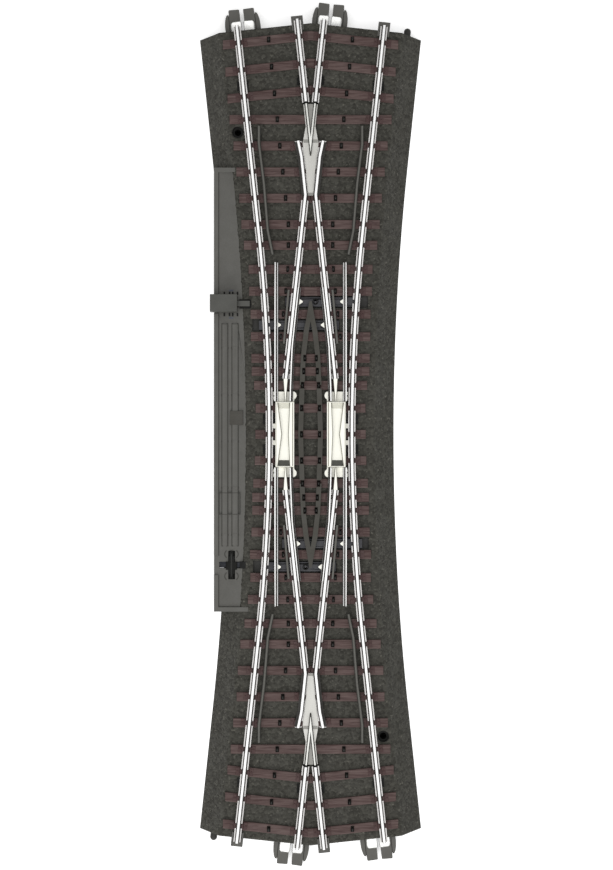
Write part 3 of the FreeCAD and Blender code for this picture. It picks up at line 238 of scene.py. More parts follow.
# Each finish: its two colours, roughness, metallic, grain and relief in millimetres, and anything more.
LOOKS = {
    "ballast": ((50, 49, 44), (72, 71, 65), 0.86, 0, 0.75, 0.24, STONY),
    "deck_grey": ((87, 86, 82), (92, 91, 87), 0.6, 0, 0.35, 0.012, {}),
    "underside_black": ((44, 43, 41), (52, 51, 48), 0.6, 0, 0.5, 0.015, {}),
    "sleeper_brown": ((96, 80, 77), (62, 44, 42), 0.74, 0, 0.9, 0.07, {"stretch": (0.16, 2.2, 2.2)}),
    "chair_brown": ((78, 58, 56), (62, 44, 43), 0.62, 0, 0.35, 0.02, {}),
    "rail_steel": ((214, 214, 214), (204, 204, 203), 0.3, 1, 0.8, 0.004, METAL),
    "rail_foot": ((190, 188, 186), (178, 176, 174), 0.34, 0.85, 0.6, 0.005, METAL),
    # Grey painted shade on the rails' rounded head shoulders.
    "rail_side": ((126, 123, 120), (112, 109, 106), 0.6, 0, 0.5, 0.005, {"stretch": METAL["stretch"]}),
    # Dark painted shade on the rails' head sides, webs and foot sides.
    "rail_web": ((62, 60, 57), (52, 50, 47), 0.6, 0, 0.5, 0.01, {}),
    "blade_steel": ((212, 212, 211), (202, 202, 200), 0.3, 1, 0.7, 0.004, METAL),
    "blade_shade": ((92, 89, 85), (78, 75, 71), 0.5, 0.2, 0.5, 0.006, {}),
    "frog_metal": ((193, 192, 187), (188, 187, 182), 0.42, 0.5, 0.6, 0.006, CAST),
    # Frog finishes: the bright nose top is a painted highlight; the grey bands and the dark sloped sides are
    # painted shade.
    "frog_bright": ((212, 212, 207), (205, 205, 200), 0.36, 0.5, 0.5, 0.005, CAST),
    "frog_band": ((146, 145, 140), (139, 138, 133), 0.44, 0.3, 0.5, 0.005, {}),
    "frog_edge": ((84, 83, 79), (72, 71, 67), 0.5, 0.2, 0.5, 0.01, {}),
    "crossing_nickel": ((254, 253, 242), (251, 250, 239), 0.42, 0, 0.7, 0.006, {"shine": 0.5}),
    # Painted shade for the castings' groove floors, slopes and edges.
    "nickel_shade": ((160, 158, 147), (150, 148, 138), 0.46, 0.05, 0.5, 0.006, {}),
    # Casting ramps: painted light for the ramps facing south, painted shade for the ramps facing north.
    "nickel_ramp": ((206, 205, 192), (200, 199, 186), 0.44, 0.05, 0.5, 0.006, {}),
    "nickel_dark": ((92, 92, 86), (84, 84, 79), 0.46, 0.05, 0.5, 0.006, {}),
    "check_grey": ((96, 95, 90), (88, 87, 82), 0.55, 0, 0.4, 0.012, {}),
    "guide_brown": ((68, 66, 60), (62, 60, 55), 0.6, 0, 0.5, 0.012, {}),
    "stud_metal": ((34, 34, 32), (26, 26, 24), 0.5, 0.3, 0.3, 0.01, {}),
    "conductor_brass": ((188, 160, 104), (168, 140, 88), 0.36, 1, 0.6, 0.006, {}),
    "bar_black": ((64, 64, 68), (58, 58, 61), 0.5, 0, 0.35, 0.01, {}),
    "lever_grey": ((74, 74, 70), (78, 78, 74), 0.55, 0, 0.35, 0.014, {}),
    "linkage_plastic": ((186, 180, 164), (176, 170, 154), 0.45, 0, 0.4, 0.01, {}),
    "socket_black": ((21, 21, 19), (17, 17, 15), 0.6, 0, 0.35, 0.012, {"shine": 0.15}),
    "contact_tin": ((236, 236, 234), (226, 226, 223), 0.3, 0.6, 0.6, 0.005, {"spread": 0.06}),
    "pin_steel": ((168, 168, 166), (140, 140, 138), 0.32, 1, 0.4, 0.006, {}),
    "slider_blue": ((74, 77, 85), (66, 69, 77), 0.45, 0, 0.4, 0.01, {}),
    # Dark lines and strips of painted shade along edges, gaps and grooves.
    "groove_dark": ((66, 65, 61), (60, 59, 55), 0.7, 0, 0.4, 0.01, {}),
    "deck_shadow": ((72, 70, 65), (67, 65, 60), 0.7, 0, 0.4, 0.01, {}),
    # Black painted shade put in holes, slots and notches.
    "void_black": ((22, 22, 20), (17, 17, 16), 0.8, 0, 0.4, 0.01, {}),
}
FINISH = {name: material(name, *look[:6], **look[6]) for name, look in LOOKS.items()}
SHADE_LINE = "groove_dark"
VOID_SHADE = "void_black"
NODE_FINISH = {entry["node"]: entry["material_slot"] for entry in frame["record"]["subparts"]}


# ---------------------------------------------------------------- pieces
class Build:
    """Collects a piece's points and faces, with a finish for each face."""

    def __init__(self):
        self.points = []
        self.faces = []
        self.looks = []

    def add(self, points, faces, look):
        """Loose faces, each a row of indices into points."""
        first = len(self.points)
        self.points += [tuple(p) for p in points]
        self.faces += [tuple(first + i for i in face) for face in faces]
        self.looks += [look] * len(faces)

    def loft(self, rings, look, looks=None):
        """Closed rings of equal length joined in turn and capped; looks gives one finish per ring side."""
        count = len(rings[0])
        first = len(self.points)
        for ring in rings:
            self.points += [tuple(p) for p in ring]
        for r in range(len(rings) - 1):
            for i in range(count):
                j = (i + 1) % count
                low = first + r * count
                high = low + count
                self.faces.append((low + i, low + j, high + j, high + i))
                self.looks.append(looks[i] if looks else look)
        last = first + (len(rings) - 1) * count
        self.faces.append(tuple(first + i for i in range(count))[::-1])
        self.faces.append(tuple(last + i for i in range(count)))
        self.looks += [look, look]

    def prism(self, outline, low, high, look, inset=0.0, top=None):
        """An upright prism; inset leans its sides in towards the top."""
        upper = shrunk(outline, inset) if inset else outline
        self.loft([[(x, y, low) for x, y in outline], [(x, y, high) for x, y in upper]], look)
        if top:
            self.looks[-1] = top

    def slab(self, x0, x1, y0, y1, z0, z1, look, inset=0.0, top=None):
        self.prism([(x0, y0), (x1, y0), (x1, y1), (x0, y1)], z0, z1, look, inset, top)

    def sweep(self, path, section, look):
        """A section of (right, height) points carried along a path in plan."""
        rings = []
        for (x, y), (nx, ny) in zip(path, sideways(path)):
            rings.append([(x + nx * u, y + ny * u, z) for u, z in section])
        self.loft(rings, look)

    def dome(self, x, y, z, radius, height, look, sides, steps):
        rings = []
        for k in range(steps + 1):
            a = math.pi / 2 * k / steps
            r = max(radius * math.cos(a), radius * 0.04)
            rings.append([(*spot, z + height * math.sin(a)) for spot in circle(x, y, r, sides)])
        self.loft(rings, look)

    def disc(self, x, y, low, high, radius, look):
        self.prism(circle(x, y, radius, 20), low, high, look)

    def finish(self, name, body, replaces=(), bevel=0.0, angle=35, segments=2):
        """Makes the piece and places it in the scene."""
        names = sorted(set(self.looks))
        mesh = bpy.data.meshes.new(name)
        mesh.from_pydata([(x * MM, y * MM, z * MM) for x, y, z in self.points], [], self.faces)
        for look in names:
            mesh.materials.append(FINISH[look])
        for polygon, look in zip(mesh.polygons, self.looks):
            polygon.material_index = names.index(look)
        shape = bmesh.new()
        shape.from_mesh(mesh)
        bmesh.ops.recalc_face_normals(shape, faces=shape.faces)
        shape.to_mesh(mesh)
        shape.free()
        dressed(bpy.data.objects.new(name, mesh), body, replaces, bevel, angle, segments)


def dressed(piece, body, replaces, bevel, angle, segments=2):
    """Links a piece, rounds its edges and sets what it rides on and stands for."""
    bpy.context.scene.collection.objects.link(piece)
    piece.data.shade_smooth()
    piece.data.set_sharp_from_angle(angle=math.radians(angle))
    if bevel:
        edge = piece.modifiers.new("rounded_edges", "BEVEL")
        edge.width = bevel * MM
        edge.segments = segments
        edge.limit_method = "ANGLE"
        edge.angle_limit = math.radians(angle)
        edge.harden_normals = True
        edge.miter_outer = "MITER_ARC"
    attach(piece, body)
    if replaces:
        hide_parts(*replaces)


def moulded(shape, name, *looks):
    """An object made of an edit mesh and its finishes."""
    mesh = bpy.data.meshes.new(name)
    shape.to_mesh(mesh)
    shape.free()
    for look in looks:
        mesh.materials.append(FINISH[look])
    return bpy.data.objects.new(name, mesh)


def shrunk(outline, inset):
    """An outline moved inwards by inset, whichever way it runs."""
    area = sum(a[0] * b[1] - b[0] * a[1] for a, b in zip(outline, outline[1:] + outline[:1]))
    sign = -1 if area > 0 else 1
    out = []
    count = len(outline)
    for i in range(count):
        path = [outline[i - 1], outline[i], outline[(i + 1) % count]]
        nx, ny = sideways(path)[1]
        out.append((outline[i][0] + sign * nx * inset, outline[i][1] + sign * ny * inset))
    return out


def rounded(node, bevel, join):
    """A copy of a CAD node's shape with its edges rounded; join merges its flat faces first."""
    source = frame["nodes"][node]
    slot = NODE_FINISH[node]
    shape = bmesh.new()
    shape.from_mesh(source.data)
    bmesh.ops.remove_doubles(shape, verts=shape.verts, dist=0.002 * MM)
    if join:
        flat = math.radians(0.5)
        bmesh.ops.dissolve_limit(shape, angle_limit=flat, verts=shape.verts, edges=shape.edges)
    bmesh.ops.recalc_face_normals(shape, faces=shape.faces)
    dressed(moulded(shape, f"{node}_piece", slot), source["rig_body"], [node], bevel, 30)


# ---------------------------------------------------------------- ballast
TO_WAIST = (WAIST_RADIUS + BASE_HALF) / math.cos(ANGLE)
SHOULDER = BASE_HALF - TOP_HALF
SMOOTH_LIFT = 0.02
SKIN = 0.25
SKIN_LOW = 0.16
SLOPE_STEPS = 20
TOP_STEPS = 104
ROWS = 560
# The lever's arm slides just over the stones here: x low, x high, half width.
ARM_WAY = (-21.2, -14.6, 1.4)
# The lever's stem and push rod, and the drive slider, pass through the slope here: y low, y high.
ROD_WAYS = [(LEVER_Y - 0.9, LEVER_Y + 1.9), (-OUTER_BAR_Y - 1.25, -OUTER_BAR_Y + 1.4)]


def edge_distance(x, y):
    """How far a point lies inside the roadbed's foot, in plan."""
    x = abs(x)
    y = abs(y)
    if math.atan2(y, TO_WAIST - x) > ANGLE:
        return BASE_HALF - (x * math.cos(ANGLE) - y * math.sin(ANGLE))
    return math.hypot(TO_WAIST - x, y) - WAIST_RADIUS


def half_width(y, inside):
    """Half the roadbed's width at a distance y, taken inside its foot by the given step."""
    y = abs(y)
    radius = WAIST_RADIUS + inside
    if y > radius * math.sin(ANGLE):
        return (BASE_HALF - inside + y * math.sin(ANGLE)) / math.cos(ANGLE)
    return TO_WAIST - math.sqrt(radius * radius - y * y)


def end_line(x):
    """The distance of the roadbed's bent end from the middle."""
    return REACH / math.cos(ANGLE) - abs(x) * LEAN


def troughs():
    """The tie bars' troughs as (x low, x high, middle y)."""
    spans = []
    for sign in (1, -1):
        for y, (low, high) in ((OUTER_BAR_Y, (-7.45, 16.6)), (INNER_BAR_Y, (-16.8, 8.35))):
            spans.append((min(sign * low, sign * high), max(sign * low, sign * high), sign * y))
    return spans


def stone_height(x, y, z):
    """Height of the moulded stones over the bed's smooth surface."""
    size = 0.95
    spot = Vector((x / size, y / size, z / size))
    distances, centres = noise.voronoi(spot)
    tone = noise.cell(centres[0] * 7.3)
    crown = max(0.0, 1 - (distances[0] / 0.62) ** 2)
    gap = min(1.0, (distances[1] - distances[0]) * 3.5)
    rough = noise.noise(Vector((x, y, z)) * 2.4)
    return 0.03 + gap * crown * (0.10 + 0.14 * abs(tone)) + 0.04 * (rough + 0.5)


def make_ballast():
    across = [("slope", -1, i / SLOPE_STEPS) for i in range(SLOPE_STEPS)]
    across += [("top", 0, -1 + 2 * i / TOP_STEPS) for i in range(TOP_STEPS + 1)]
    across += [("slope", 1, i / SLOPE_STEPS) for i in range(SLOPE_STEPS - 1, -1, -1)]
    lean = math.atan2(BED_TOP, SHOULDER)
    shape = bmesh.new()
    grid = []
    for row in range(ROWS + 1):
        v = -1 + 2 * row / ROWS
        line = []
        for kind, side, step in across:
            y = v * REACH
            for _ in range(4):
                foot = half_width(y, 0)
                shoulder = half_width(y, SHOULDER)
                if kind == "top":
                    x = step * shoulder
                else:
                    x = side * (foot + (shoulder - foot) * step)
                y = v * end_line(x)
            inside = edge_distance(x, y)
            z = min(BED_TOP, BED_TOP * inside / SHOULDER)
            fade = min(1.0, max(0.0, inside) / 0.5, (end_line(x) - abs(y)) / 0.35 + 0.08)
            lift = SMOOTH_LIFT + fade * stone_height(x, y, z)
            if ARM_WAY[0] < x < ARM_WAY[1] and abs(y - LEVER_Y) < ARM_WAY[2]:
                lift = SMOOTH_LIFT
            if kind == "slope":
                x += side * math.sin(lean) * lift * math.cos(ANGLE)
                z = max(z + math.cos(lean) * lift, SKIN_LOW)
            else:
                z += lift
            line.append(shape.verts.new((x * MM, y * MM, z * MM)))
        grid.append(line)
    for low, high in zip(grid, grid[1:]):
        for i in range(len(across) - 1):
            shape.faces.new((low[i], low[i + 1], high[i + 1], high[i]))
    shape.normal_update()
    for low, high, middle in troughs():
        cut_window(shape, low, high, middle - TROUGH_HALF, middle + TROUGH_HALF)
    for low, high in ROD_WAYS:
        cut_window(shape, -25.5, -19.8, low, high)
    for sign in (1, -1):
        hole = Vector((sign * SCREW[0], -sign * SCREW[1]))
        near = []
        for vert in shape.verts:
            flat = vert.co.xy / MM - hole
            if flat.length < SCREW_RECESS + 0.25 and vert.co.z > 0.006:
                if flat.length > SCREW_RECESS - 0.22:
                    vert.co.xy = (hole + flat.normalized() * SCREW_RECESS) * MM
                else:
                    near.append(vert)
        bmesh.ops.delete(shape, geom=near, context="VERTS")
    piece = moulded(shape, "ballast_skin", "ballast")
    dressed(piece, "bed", [], 0.0, 60)
    thick = piece.modifiers.new("skin_thickness", "SOLIDIFY")
    thick.thickness = SKIN * MM
    thick.offset = -1


def cut_window(shape, x0, x1, y0, y1, keep=False):
    """Cuts a rectangle through a mesh in plan; keep returns its faces instead of deleting them."""
    margin = 1.2
    box = (x0 - margin, x1 + margin, y0 - margin, y1 + margin)

    def inside(centre, bounds):
        return bounds[0] < centre.x / MM < bounds[1] and bounds[2] < centre.y / MM < bounds[3]

    for place, normal in (((x0, 0), (1, 0)), ((x1, 0), (1, 0)), ((0, y0), (0, 1)), ((0, y1), (0, 1))):
        faces = [f for f in shape.faces if inside(f.calc_center_median(), box)]
        edges = {e for f in faces for e in f.edges}
        verts = {v for f in faces for v in f.verts}
        bmesh.ops.bisect_plane(
            shape, geom=list(verts) + list(edges) + faces, dist=1e-7,
            plane_co=(place[0] * MM, place[1] * MM, 0), plane_no=(normal[0], normal[1], 0),
        )
    chosen = [f for f in shape.faces if inside(f.calc_center_median(), (x0, x1, y0, y1))]
    if keep:
        return chosen
    bmesh.ops.delete(shape, geom=chosen, context="FACES")
    return []


# ---------------------------------------------------------------- sleepers
STRAIGHT_SLEEPERS = [
    (0.0, 16.0), (7.55, 16.0), (14.12, 16.5), (18.18, 17.05), (21.92, 17.05), (28.18, 17.25),
    (34.66, 17.5), (41.28, 17.55), (47.62, 18.0), (54.54, 19.0), (60.53, 20.0), (68.1, 20.8),
    (75.7, 21.5), (83.2, 22.4), (90.8, 23.2),
]
BENT_SLEEPERS = [(99.3, 23.9), (107.1, 24.6), (115.0, 25.5)]
STUDS = [
    (0.0, 2.6), (7.55, 2.6), (14.12, 2.35), (18.18, 1.97), (21.92, 1.66), (28.18, 8.5),
    (34.66, 7.8), (41.28, 7.06), (47.62, 6.5), (54.54, 6.4), (60.53, 6.4), (68.1, 7.2),
    (75.7, 8.0), (83.2, 8.86), (90.8, 9.6), (98.3, 10.4), (106.0, 11.24), (113.8, 12.07),
]
SLEEPER_HALF = 1.3


def both_ways(distance):
    return (1,) if distance == 0 else (1, -1)


def all_sleepers():
    """Every sleeper as (middle y, half length, slope of its two halves)."""
    rows = []
    for y, half in STRAIGHT_SLEEPERS:
        for sign in both_ways(y):
            rows.append((sign * y, half, 0.0))
    for y, half in BENT_SLEEPERS:
        for sign in (1, -1):
            rows.append((sign * y, half, -sign * LEAN))
    return rows


def sleeper_middle(row, x):
    return row[0] + row[2] * abs(x)


def stud_places():
    for y, x in STUDS:
        for sign_y in both_ways(y):
            for sign_x in (1, -1):
                yield sign_x * x, sign_y * y


def plank_height(x, t, seed):
    """Sawn grain on a sleeper's top: long grooves, with a dip along its edges."""
    grain = noise.noise(Vector((x * 0.16 + seed, t * 2.6, seed * 3.1)))
    fine = noise.noise(Vector((x * 0.7 - seed, t * 7.0, seed)))
    edge = max(0.0, abs(t) - (SLEEPER_HALF - 0.16)) / 0.16
    groove = 0.06 * max(0.0, 1 - abs(t - 0.45 * math.sin(seed * 2.3)) / 0.13)
    return 0.06 * grain + 0.02 * fine - groove - 0.09 * edge * edge


def make_sleepers():
    shape = bmesh.new()
    across = [-1.3, -1.2, -1.0, -0.75, -0.5, -0.25, 0.0, 0.25, 0.5, 0.75, 1.0, 1.2, 1.3]
    for number, row in enumerate(all_sleepers()):
        seed = number * 1.7 + 0.3
        half = row[1] + random.uniform(-0.25, 0.25)
        steps = max(8, int(half * 2 / 0.9))
        xs = [-half + 2 * half * i / steps for i in range(steps + 1)]
        if row[2]:
            xs = sorted(set(xs) | {0.0})
        verts = []
        for x in xs:
            line = []
            for t in across:
                end = min(1.0, (half - abs(x)) / 0.2)
                z = SLEEPER_TOP - 0.03 + plank_height(x, t, seed) - 0.07 * (1 - end)
                y = sleeper_middle(row, x) + t
                line.append(shape.verts.new((x * MM, y * MM, min(z, SLEEPER_TOP) * MM)))
            verts.append(line)
        for i in range(len(xs) - 1):
            for j in range(len(across) - 1):
                shape.faces.new((verts[i][j], verts[i + 1][j], verts[i + 1][j + 1], verts[i][j + 1]))
        rim = [verts[i][0] for i in range(len(xs))] + verts[-1][1:]
        rim += [verts[i][-1] for i in range(len(xs) - 2, -1, -1)] + verts[0][-2:0:-1]
        low = [shape.verts.new((v.co.x, v.co.y, (BED_TOP - 0.1) * MM)) for v in rim]
        for k in range(len(rim)):
            n = (k + 1) % len(rim)
            shape.faces.new((rim[n], rim[k], low[k], low[n]))
        shape.faces.new(low)
    for x, y in stud_places():
        holes = cut_window(shape, x - 0.5, x + 0.5, y - 0.85, y + 0.85, keep=True)
        holes = [f for f in holes if f.normal.z > 0.5 and f.calc_center_median().z > 0.0077]
        if not holes:
            continue
        sunk = bmesh.ops.extrude_face_region(shape, geom=holes)["geom"]
        for item in sunk:
            if isinstance(item, bmesh.types.BMVert):
                item.co.z = (BED_TOP + 0.12) * MM
        for item in sunk:
            if isinstance(item, bmesh.types.BMFace):
                item.material_index = 1
                for edge in item.edges:
                    for wall in edge.link_faces:
                        wall.material_index = 1
        bmesh.ops.delete(shape, geom=holes, context="FACES_ONLY")
    bmesh.ops.recalc_face_normals(shape, faces=shape.faces)
    piece = moulded(shape, "sleeper_planks", "sleeper_brown", "socket_black")
    dressed(piece, "bed", ["sleepers"], 0.0, 40)


# ---------------------------------------------------------------- rails
RAIL_PAST = 1.0
WING = [(-3.6, 84.3), (-2.64, 79.8), inner_rail_point(68.8), inner_rail_point(16.0)]
HEAD_HALF = 0.475
WEB_EDGE = 0.42
WEB_LOW = 8.42
HEAD = "rail_steel"
FOOT = "rail_foot"
SIDE_SHADE = "rail_side"
WEB_SHADE = "rail_web"
# Half the rail's outline from its top: distance from the middle, height, finish of the side below. The grey
# shoulder finish and the dark finish of the head side, web and foot side are painted shade.
RAIL_HALF = [
    (0.0, RAIL_TOP, HEAD), (0.31, RAIL_TOP, SIDE_SHADE), (0.42, 10.27, SIDE_SHADE), (HEAD_HALF, 10.12, WEB_SHADE),
    (HEAD_HALF, 9.75, WEB_SHADE), (0.40, 9.6, WEB_SHADE), (0.27, 9.5, WEB_SHADE), (0.25, 9.3, WEB_SHADE), (0.25, 8.9, WEB_SHADE),
    (0.27, 8.5, WEB_SHADE), (WEB_EDGE, WEB_LOW, WEB_SHADE), (0.68, 8.41, FOOT), (1.02, FOOT_TOP, FOOT),
    (1.05, 8.34, WEB_SHADE), (1.05, SLEEPER_TOP, WEB_SHADE),
]
NOTCH_HALF = 0.55


def pin_places(corner):
    """The y of the drive pins of a corner's outer and inner blades."""
    sx, sy = CORNERS[corner]
    bars = (INNER_BAR_Y, OUTER_BAR_Y) if sx * sy < 0 else (OUTER_BAR_Y, INNER_BAR_Y)
    return sy * bars[0], sy * bars[1]


def stock_path(side, past=0.0):
    """A stock rail's middle line: an arc with a straight piece at each end."""
    to_centre = STOCK_RADIUS / math.cos(ANGLE) + RAIL_X
    end = turned((RAIL, REACH + past), -ANGLE)
    steps = 48
    points = [(side * end[0], -end[1])]
    for i in range(steps + 1):
        t = -ANGLE + 2 * ANGLE * i / steps
        points.append((side * (to_centre - STOCK_RADIUS * math.cos(t)), STOCK_RADIUS * math.sin(t)))
    points.append((side * end[0], end[1]))
    return points


def end_rail_path(corner, past=0.0):
    end = turned((-RAIL, REACH + past), -ANGLE)
    return mirrored([end, inner_rail_point(INSULATOR_Y + 0.3)], *CORNERS[corner])


def wing_rail_path(corner):
    sx, sy = CORNERS[corner]
    return mirrored(WING, -sx, sy)


def rail_section():
    """The rail's outline as (right, height) points with a finish for each side."""
    left = RAIL_HALF[:0:-1]
    points = [(u, z) for u, z, _ in RAIL_HALF] + [(-u, z) for u, z, _ in left]
    looks = [look for _, _, look in RAIL_HALF + left[1:] + RAIL_HALF[:1]]
    return points, looks


def make_rails():
    """Every running rail; the feet are notched where the blades' drive pins close against them."""
    section, looks = rail_section()
    plans = []
    for way, side in (("west", -1), ("east", 1)):
        notches = [pin_places(corner)[0] for corner, (sx, _) in CORNERS.items() if sx == side]
        plans.append((f"stock_rail_{way}", stock_path(side, RAIL_PAST), -side, notches))
    for corner, (sx, _) in CORNERS.items():
        plans.append((f"end_rail_{corner}", end_rail_path(corner, RAIL_PAST), 0, []))
        plans.append((f"wing_rail_{corner}", wing_rail_path(corner), -sx, [pin_places(corner)[1]]))
    for node, path, inner, notches in plans:
        for middle in notches:
            spots = [middle + sign * (NOTCH_HALF + gap) for sign in (1, -1) for gap in (0, 0.01)]
            path = sorted(path + [(along(path, y), y) for y in spots], key=lambda point: point[1])
        rings = []
        for (x, y), (nx, ny) in zip(path, sideways(path)):
            narrow = any(abs(y - middle) < NOTCH_HALF + 0.005 for middle in notches)
            ring = []
            for u, z in section:
                if narrow and u * inner > WEB_EDGE and z < WEB_LOW:
                    u = WEB_EDGE * inner
                ring.append((x + nx * u, y + ny * u, z))
            rings.append(ring)
        build = Build()
        # The shoulders, head sides, web and foot sides carry painted shade.
        build.loft(rings, WEB_SHADE, looks)
        build.finish(f"{node}_piece", "bed", [node], angle=40)


# ---------------------------------------------------------------- chairs
def rail_lines():
    """Every fixed rail that stands on sleepers, with the range of y its chairs lie in."""
    lines = [(stock_path(side), (0, 200)) for side in (1, -1)]
    for corner in CORNERS:
        lines.append((end_rail_path(corner), (97, 200)))
        lines.append((wing_rail_path(corner), (17, 84)))
    return lines


def crossing_point(path, row):
    """Where a rail's line crosses a sleeper's middle line, with the rail's heading there."""
    for (x0, y0), (x1, y1) in zip(path, path[1:]):
        f0 = y0 - sleeper_middle(row, x0)
        f1 = y1 - sleeper_middle(row, x1)
        if f0 == f1 or f0 * f1 > 0:
            continue
        t = f0 / (f0 - f1)
        x = x0 + (x1 - x0) * t
        return x, y0 + (y1 - y0) * t, math.atan2(x1 - x0, y1 - y0)
    return None


CHAIR = "chair_brown"
CLIP_TOP = 8.66
LOW_CLIP_TOP = 8.43


def make_chairs():
    """The moulded baseplates, clips and bolt heads that hold the rails down."""
    build = Build()

    def place(points, x, y, heading):
        out = []
        for u, v, z in points:
            a, b = turned((u, v), -heading)
            out.append((x + a, y + b, z))
        return out

    def block(x, y, heading, u0, u1, half, z0, z1, lean):
        """A block beside a rail whose sides lean in towards its top."""
        low = [(u0, -half, z0), (u1, -half, z0), (u1, half, z0), (u0, half, z0)]
        a, b = sorted((u0, u1))
        top = []
        for u, v, _ in low:
            top.append((u + (lean if u == a else -lean), v * (1 - lean / half), z1))
        build.loft([place(low, x, y, heading), place(top, x, y, heading)], CHAIR)

    for path, (low, high) in rail_lines():
        for row in all_sleepers():
            spot = crossing_point(path, row)
            if not spot or not low <= abs(spot[1]) <= high:
                continue
            x, y, heading = spot
            if math.cos(heading) < 0:
                heading += math.pi
            for side in (-1, 1):
                clear = abs(x + side * 2.0) > 0.6
                reach = 2.55 if clear else 1.5
                block(x, y, heading, side * 1.05, side * reach, 1.08, SLEEPER_TOP - 0.12,
                      SLEEPER_TOP + 0.14, 0.06)
                beside_blade = path[0][0] * side < 0 and 10 < abs(y) < 52
                block(x, y, heading, side * 0.58, side * 1.5, 0.8, SLEEPER_TOP + 0.02,
                      LOW_CLIP_TOP if beside_blade else CLIP_TOP, 0.14)
                if clear:
                    sx, sy = turned((side * 2.05, 0.0), -heading)
                    build.dome(x + sx, y + sy, SLEEPER_TOP + 0.12, 0.32, 0.16, CHAIR, 10, 3)
    build.finish("rail_chairs", "bed", angle=30)


# ---------------------------------------------------------------- floor, light and camera
def make_stage():
    size = 1.6
    mesh = bpy.data.meshes.new("floor")
    corners = [(-size, -size, 0), (size, -size, 0), (size, size, 0), (-size, size, 0)]
    mesh.from_pydata(corners, [], [(0, 1, 2, 3)])
    floor = bpy.data.objects.new("floor", mesh)
    bpy.context.scene.collection.objects.link(floor)
    paper = material("floor", (253, 253, 253), (251, 251, 251), 0.9, 0, 6.0, 0.01, shine=0.1)
    glow = paper.node_tree.nodes["Principled BSDF"].inputs
    glow["Emission Color"].default_value = (1, 1, 1, 1)
    glow["Emission Strength"].default_value = 0.4
    mesh.materials.append(paper)
    floor.location.z = CAD_LOW.z - 0.00002


def area(name, place, size, power):
    """A soft light aimed at the model's middle."""
    data = bpy.data.lights.new(name, "AREA")
    data.shape = "RECTANGLE"
    data.size = size[0]
    data.size_y = size[1]
    data.energy = power
    light = bpy.data.objects.new(name, data)
    light.location = place
    light.rotation_euler = (-Vector(place)).to_track_quat("-Z", "Y").to_euler()
    bpy.context.scene.collection.objects.link(light)


def make_studio():
    world = bpy.data.worlds.new("studio")
    world.use_nodes = True
    sky = world.node_tree.nodes["Background"].inputs
    sky["Color"].default_value = (1, 1, 1, 1)
    sky["Strength"].default_value = 0.38
    bpy.context.scene.world = world
    area("overhead", (0, -0.15, 0.95), (1.2, 1.2), 6.8)
    area("key", (-0.15, -0.9, 0.55), (0.6, 0.4), 4.2)

    data = bpy.data.cameras.new("camera")
    data.lens = 74.2
    data.sensor_width = 36
    data.clip_start = 0.01
    data.clip_end = 10
    camera = bpy.data.objects.new("camera", data)
    camera.location = (-1.17 * MM, -0.2 * MM, 0.525)
    bpy.context.scene.collection.objects.link(camera)
    bpy.context.scene.camera = camera
    bpy.context.scene.view_settings.view_transform = "Standard"


# ---------------------------------------------------------------- CAD shapes with rounded edges
SOLID_NODES = {
    "hand_lever": 0.2, "drive_slider": 0.08, "blade_guards": 0.1, "cover_screws": 0.08,
    "joint_tongues": 0.08, "alignment_pegs": 0.0, "rocker_posts": 0.08, "push_rod": 0.08,
}
HOLED_NODES = {
    "drive_cover": 0.1, "mechanism_cover": 0.12, "rocker_north": 0.1, "rocker_south": 0.1,
    "coupling_rod": 0.1, "outer_tie_bar_north": 0.12, "outer_tie_bar_south": 0.12,
    "inner_tie_bar_north": 0.12, "inner_tie_bar_south": 0.12,
}


def make_rounded():
    """Pieces whose CAD shape is right; only shapes without holes have their flat faces joined."""
    for node, bevel in SOLID_NODES.items():
        rounded(node, bevel, True)
    for node, bevel in HOLED_NODES.items():
        rounded(node, bevel, False)


# ---------------------------------------------------------------- guide and check rails
GUIDE_TOP = 9.6
GUIDE_ARCH = 9.0
GUIDE_OUTSIDE = [(0.35, 38.3), (0.8, 35.8), (1.35, 32.7), (1.98, 29.7), (2.8, 22.2), (3.15, 14.2),
                 (3.55, 0.0)]
GUIDE_INSIDE = [(0.0, 38.3), (0.0, 32.4), (0.5, 29.7), (1.4, 22.2), (1.7, 14.2), (2.15, 0.0)]


def make_guide():
    """The diamond between the crossings: arched over the troughs, notched round the studs in it."""
    steps = {1.5, 5.0, 10.0, 18.0, 24.0, 26.0, 29.75, 29.8, 33.2, 33.25, 36.45, 36.5}
    levels = sorted({y for _, y in GUIDE_OUTSIDE + GUIDE_INSIDE} | steps)
    levels = [-y for y in levels[:0:-1]] + levels
    shape = bmesh.new()
    for side in (1, -1):
        rows = []
        for y in levels:
            inner = along(GUIDE_INSIDE, abs(y))
            outer = along(GUIDE_OUTSIDE, abs(y))
            rows.append([shape.verts.new((side * x * MM, y * MM, GUIDE_TOP * MM)) for x in (inner, outer)])
        for low, high in zip(rows, rows[1:]):
            ring = (low[0], low[1], high[1], high[0])
            shape.faces.new(ring if side > 0 else ring[::-1])
    bmesh.ops.remove_doubles(shape, verts=shape.verts, dist=1e-7)
    for x, y in stud_places():
        if abs(x) < 3.0:
            edge = along(GUIDE_INSIDE, abs(y)) - 0.3
            low, high = sorted((math.copysign(edge, x), x + math.copysign(0.4, x)))
            cut_window(shape, low, high, y - 0.95, y + 0.95)
    tops = list(shape.faces)
    rims = [edge for edge in shape.edges if len(edge.link_faces) == 1]
    below = {}
    for vert in list(shape.verts):
        y = abs(vert.co.y) / MM
        arched = 29.79 < y < 33.21 or y > 36.49
        foot = GUIDE_ARCH if arched else SLEEPER_TOP
        below[vert] = shape.verts.new((vert.co.x, vert.co.y, foot * MM))
    for face in tops:
        shape.faces.new([below[vert] for vert in reversed(face.verts)])
    for edge in rims:
        a, b = edge.verts
        shape.faces.new((a, b, below[b], below[a]))
    bmesh.ops.recalc_face_normals(shape, faces=shape.faces)
    piece = moulded(shape, "guide_diamond", "guide_brown")
    dressed(piece, "bed", ["centre_guide"], 0.1, 35)


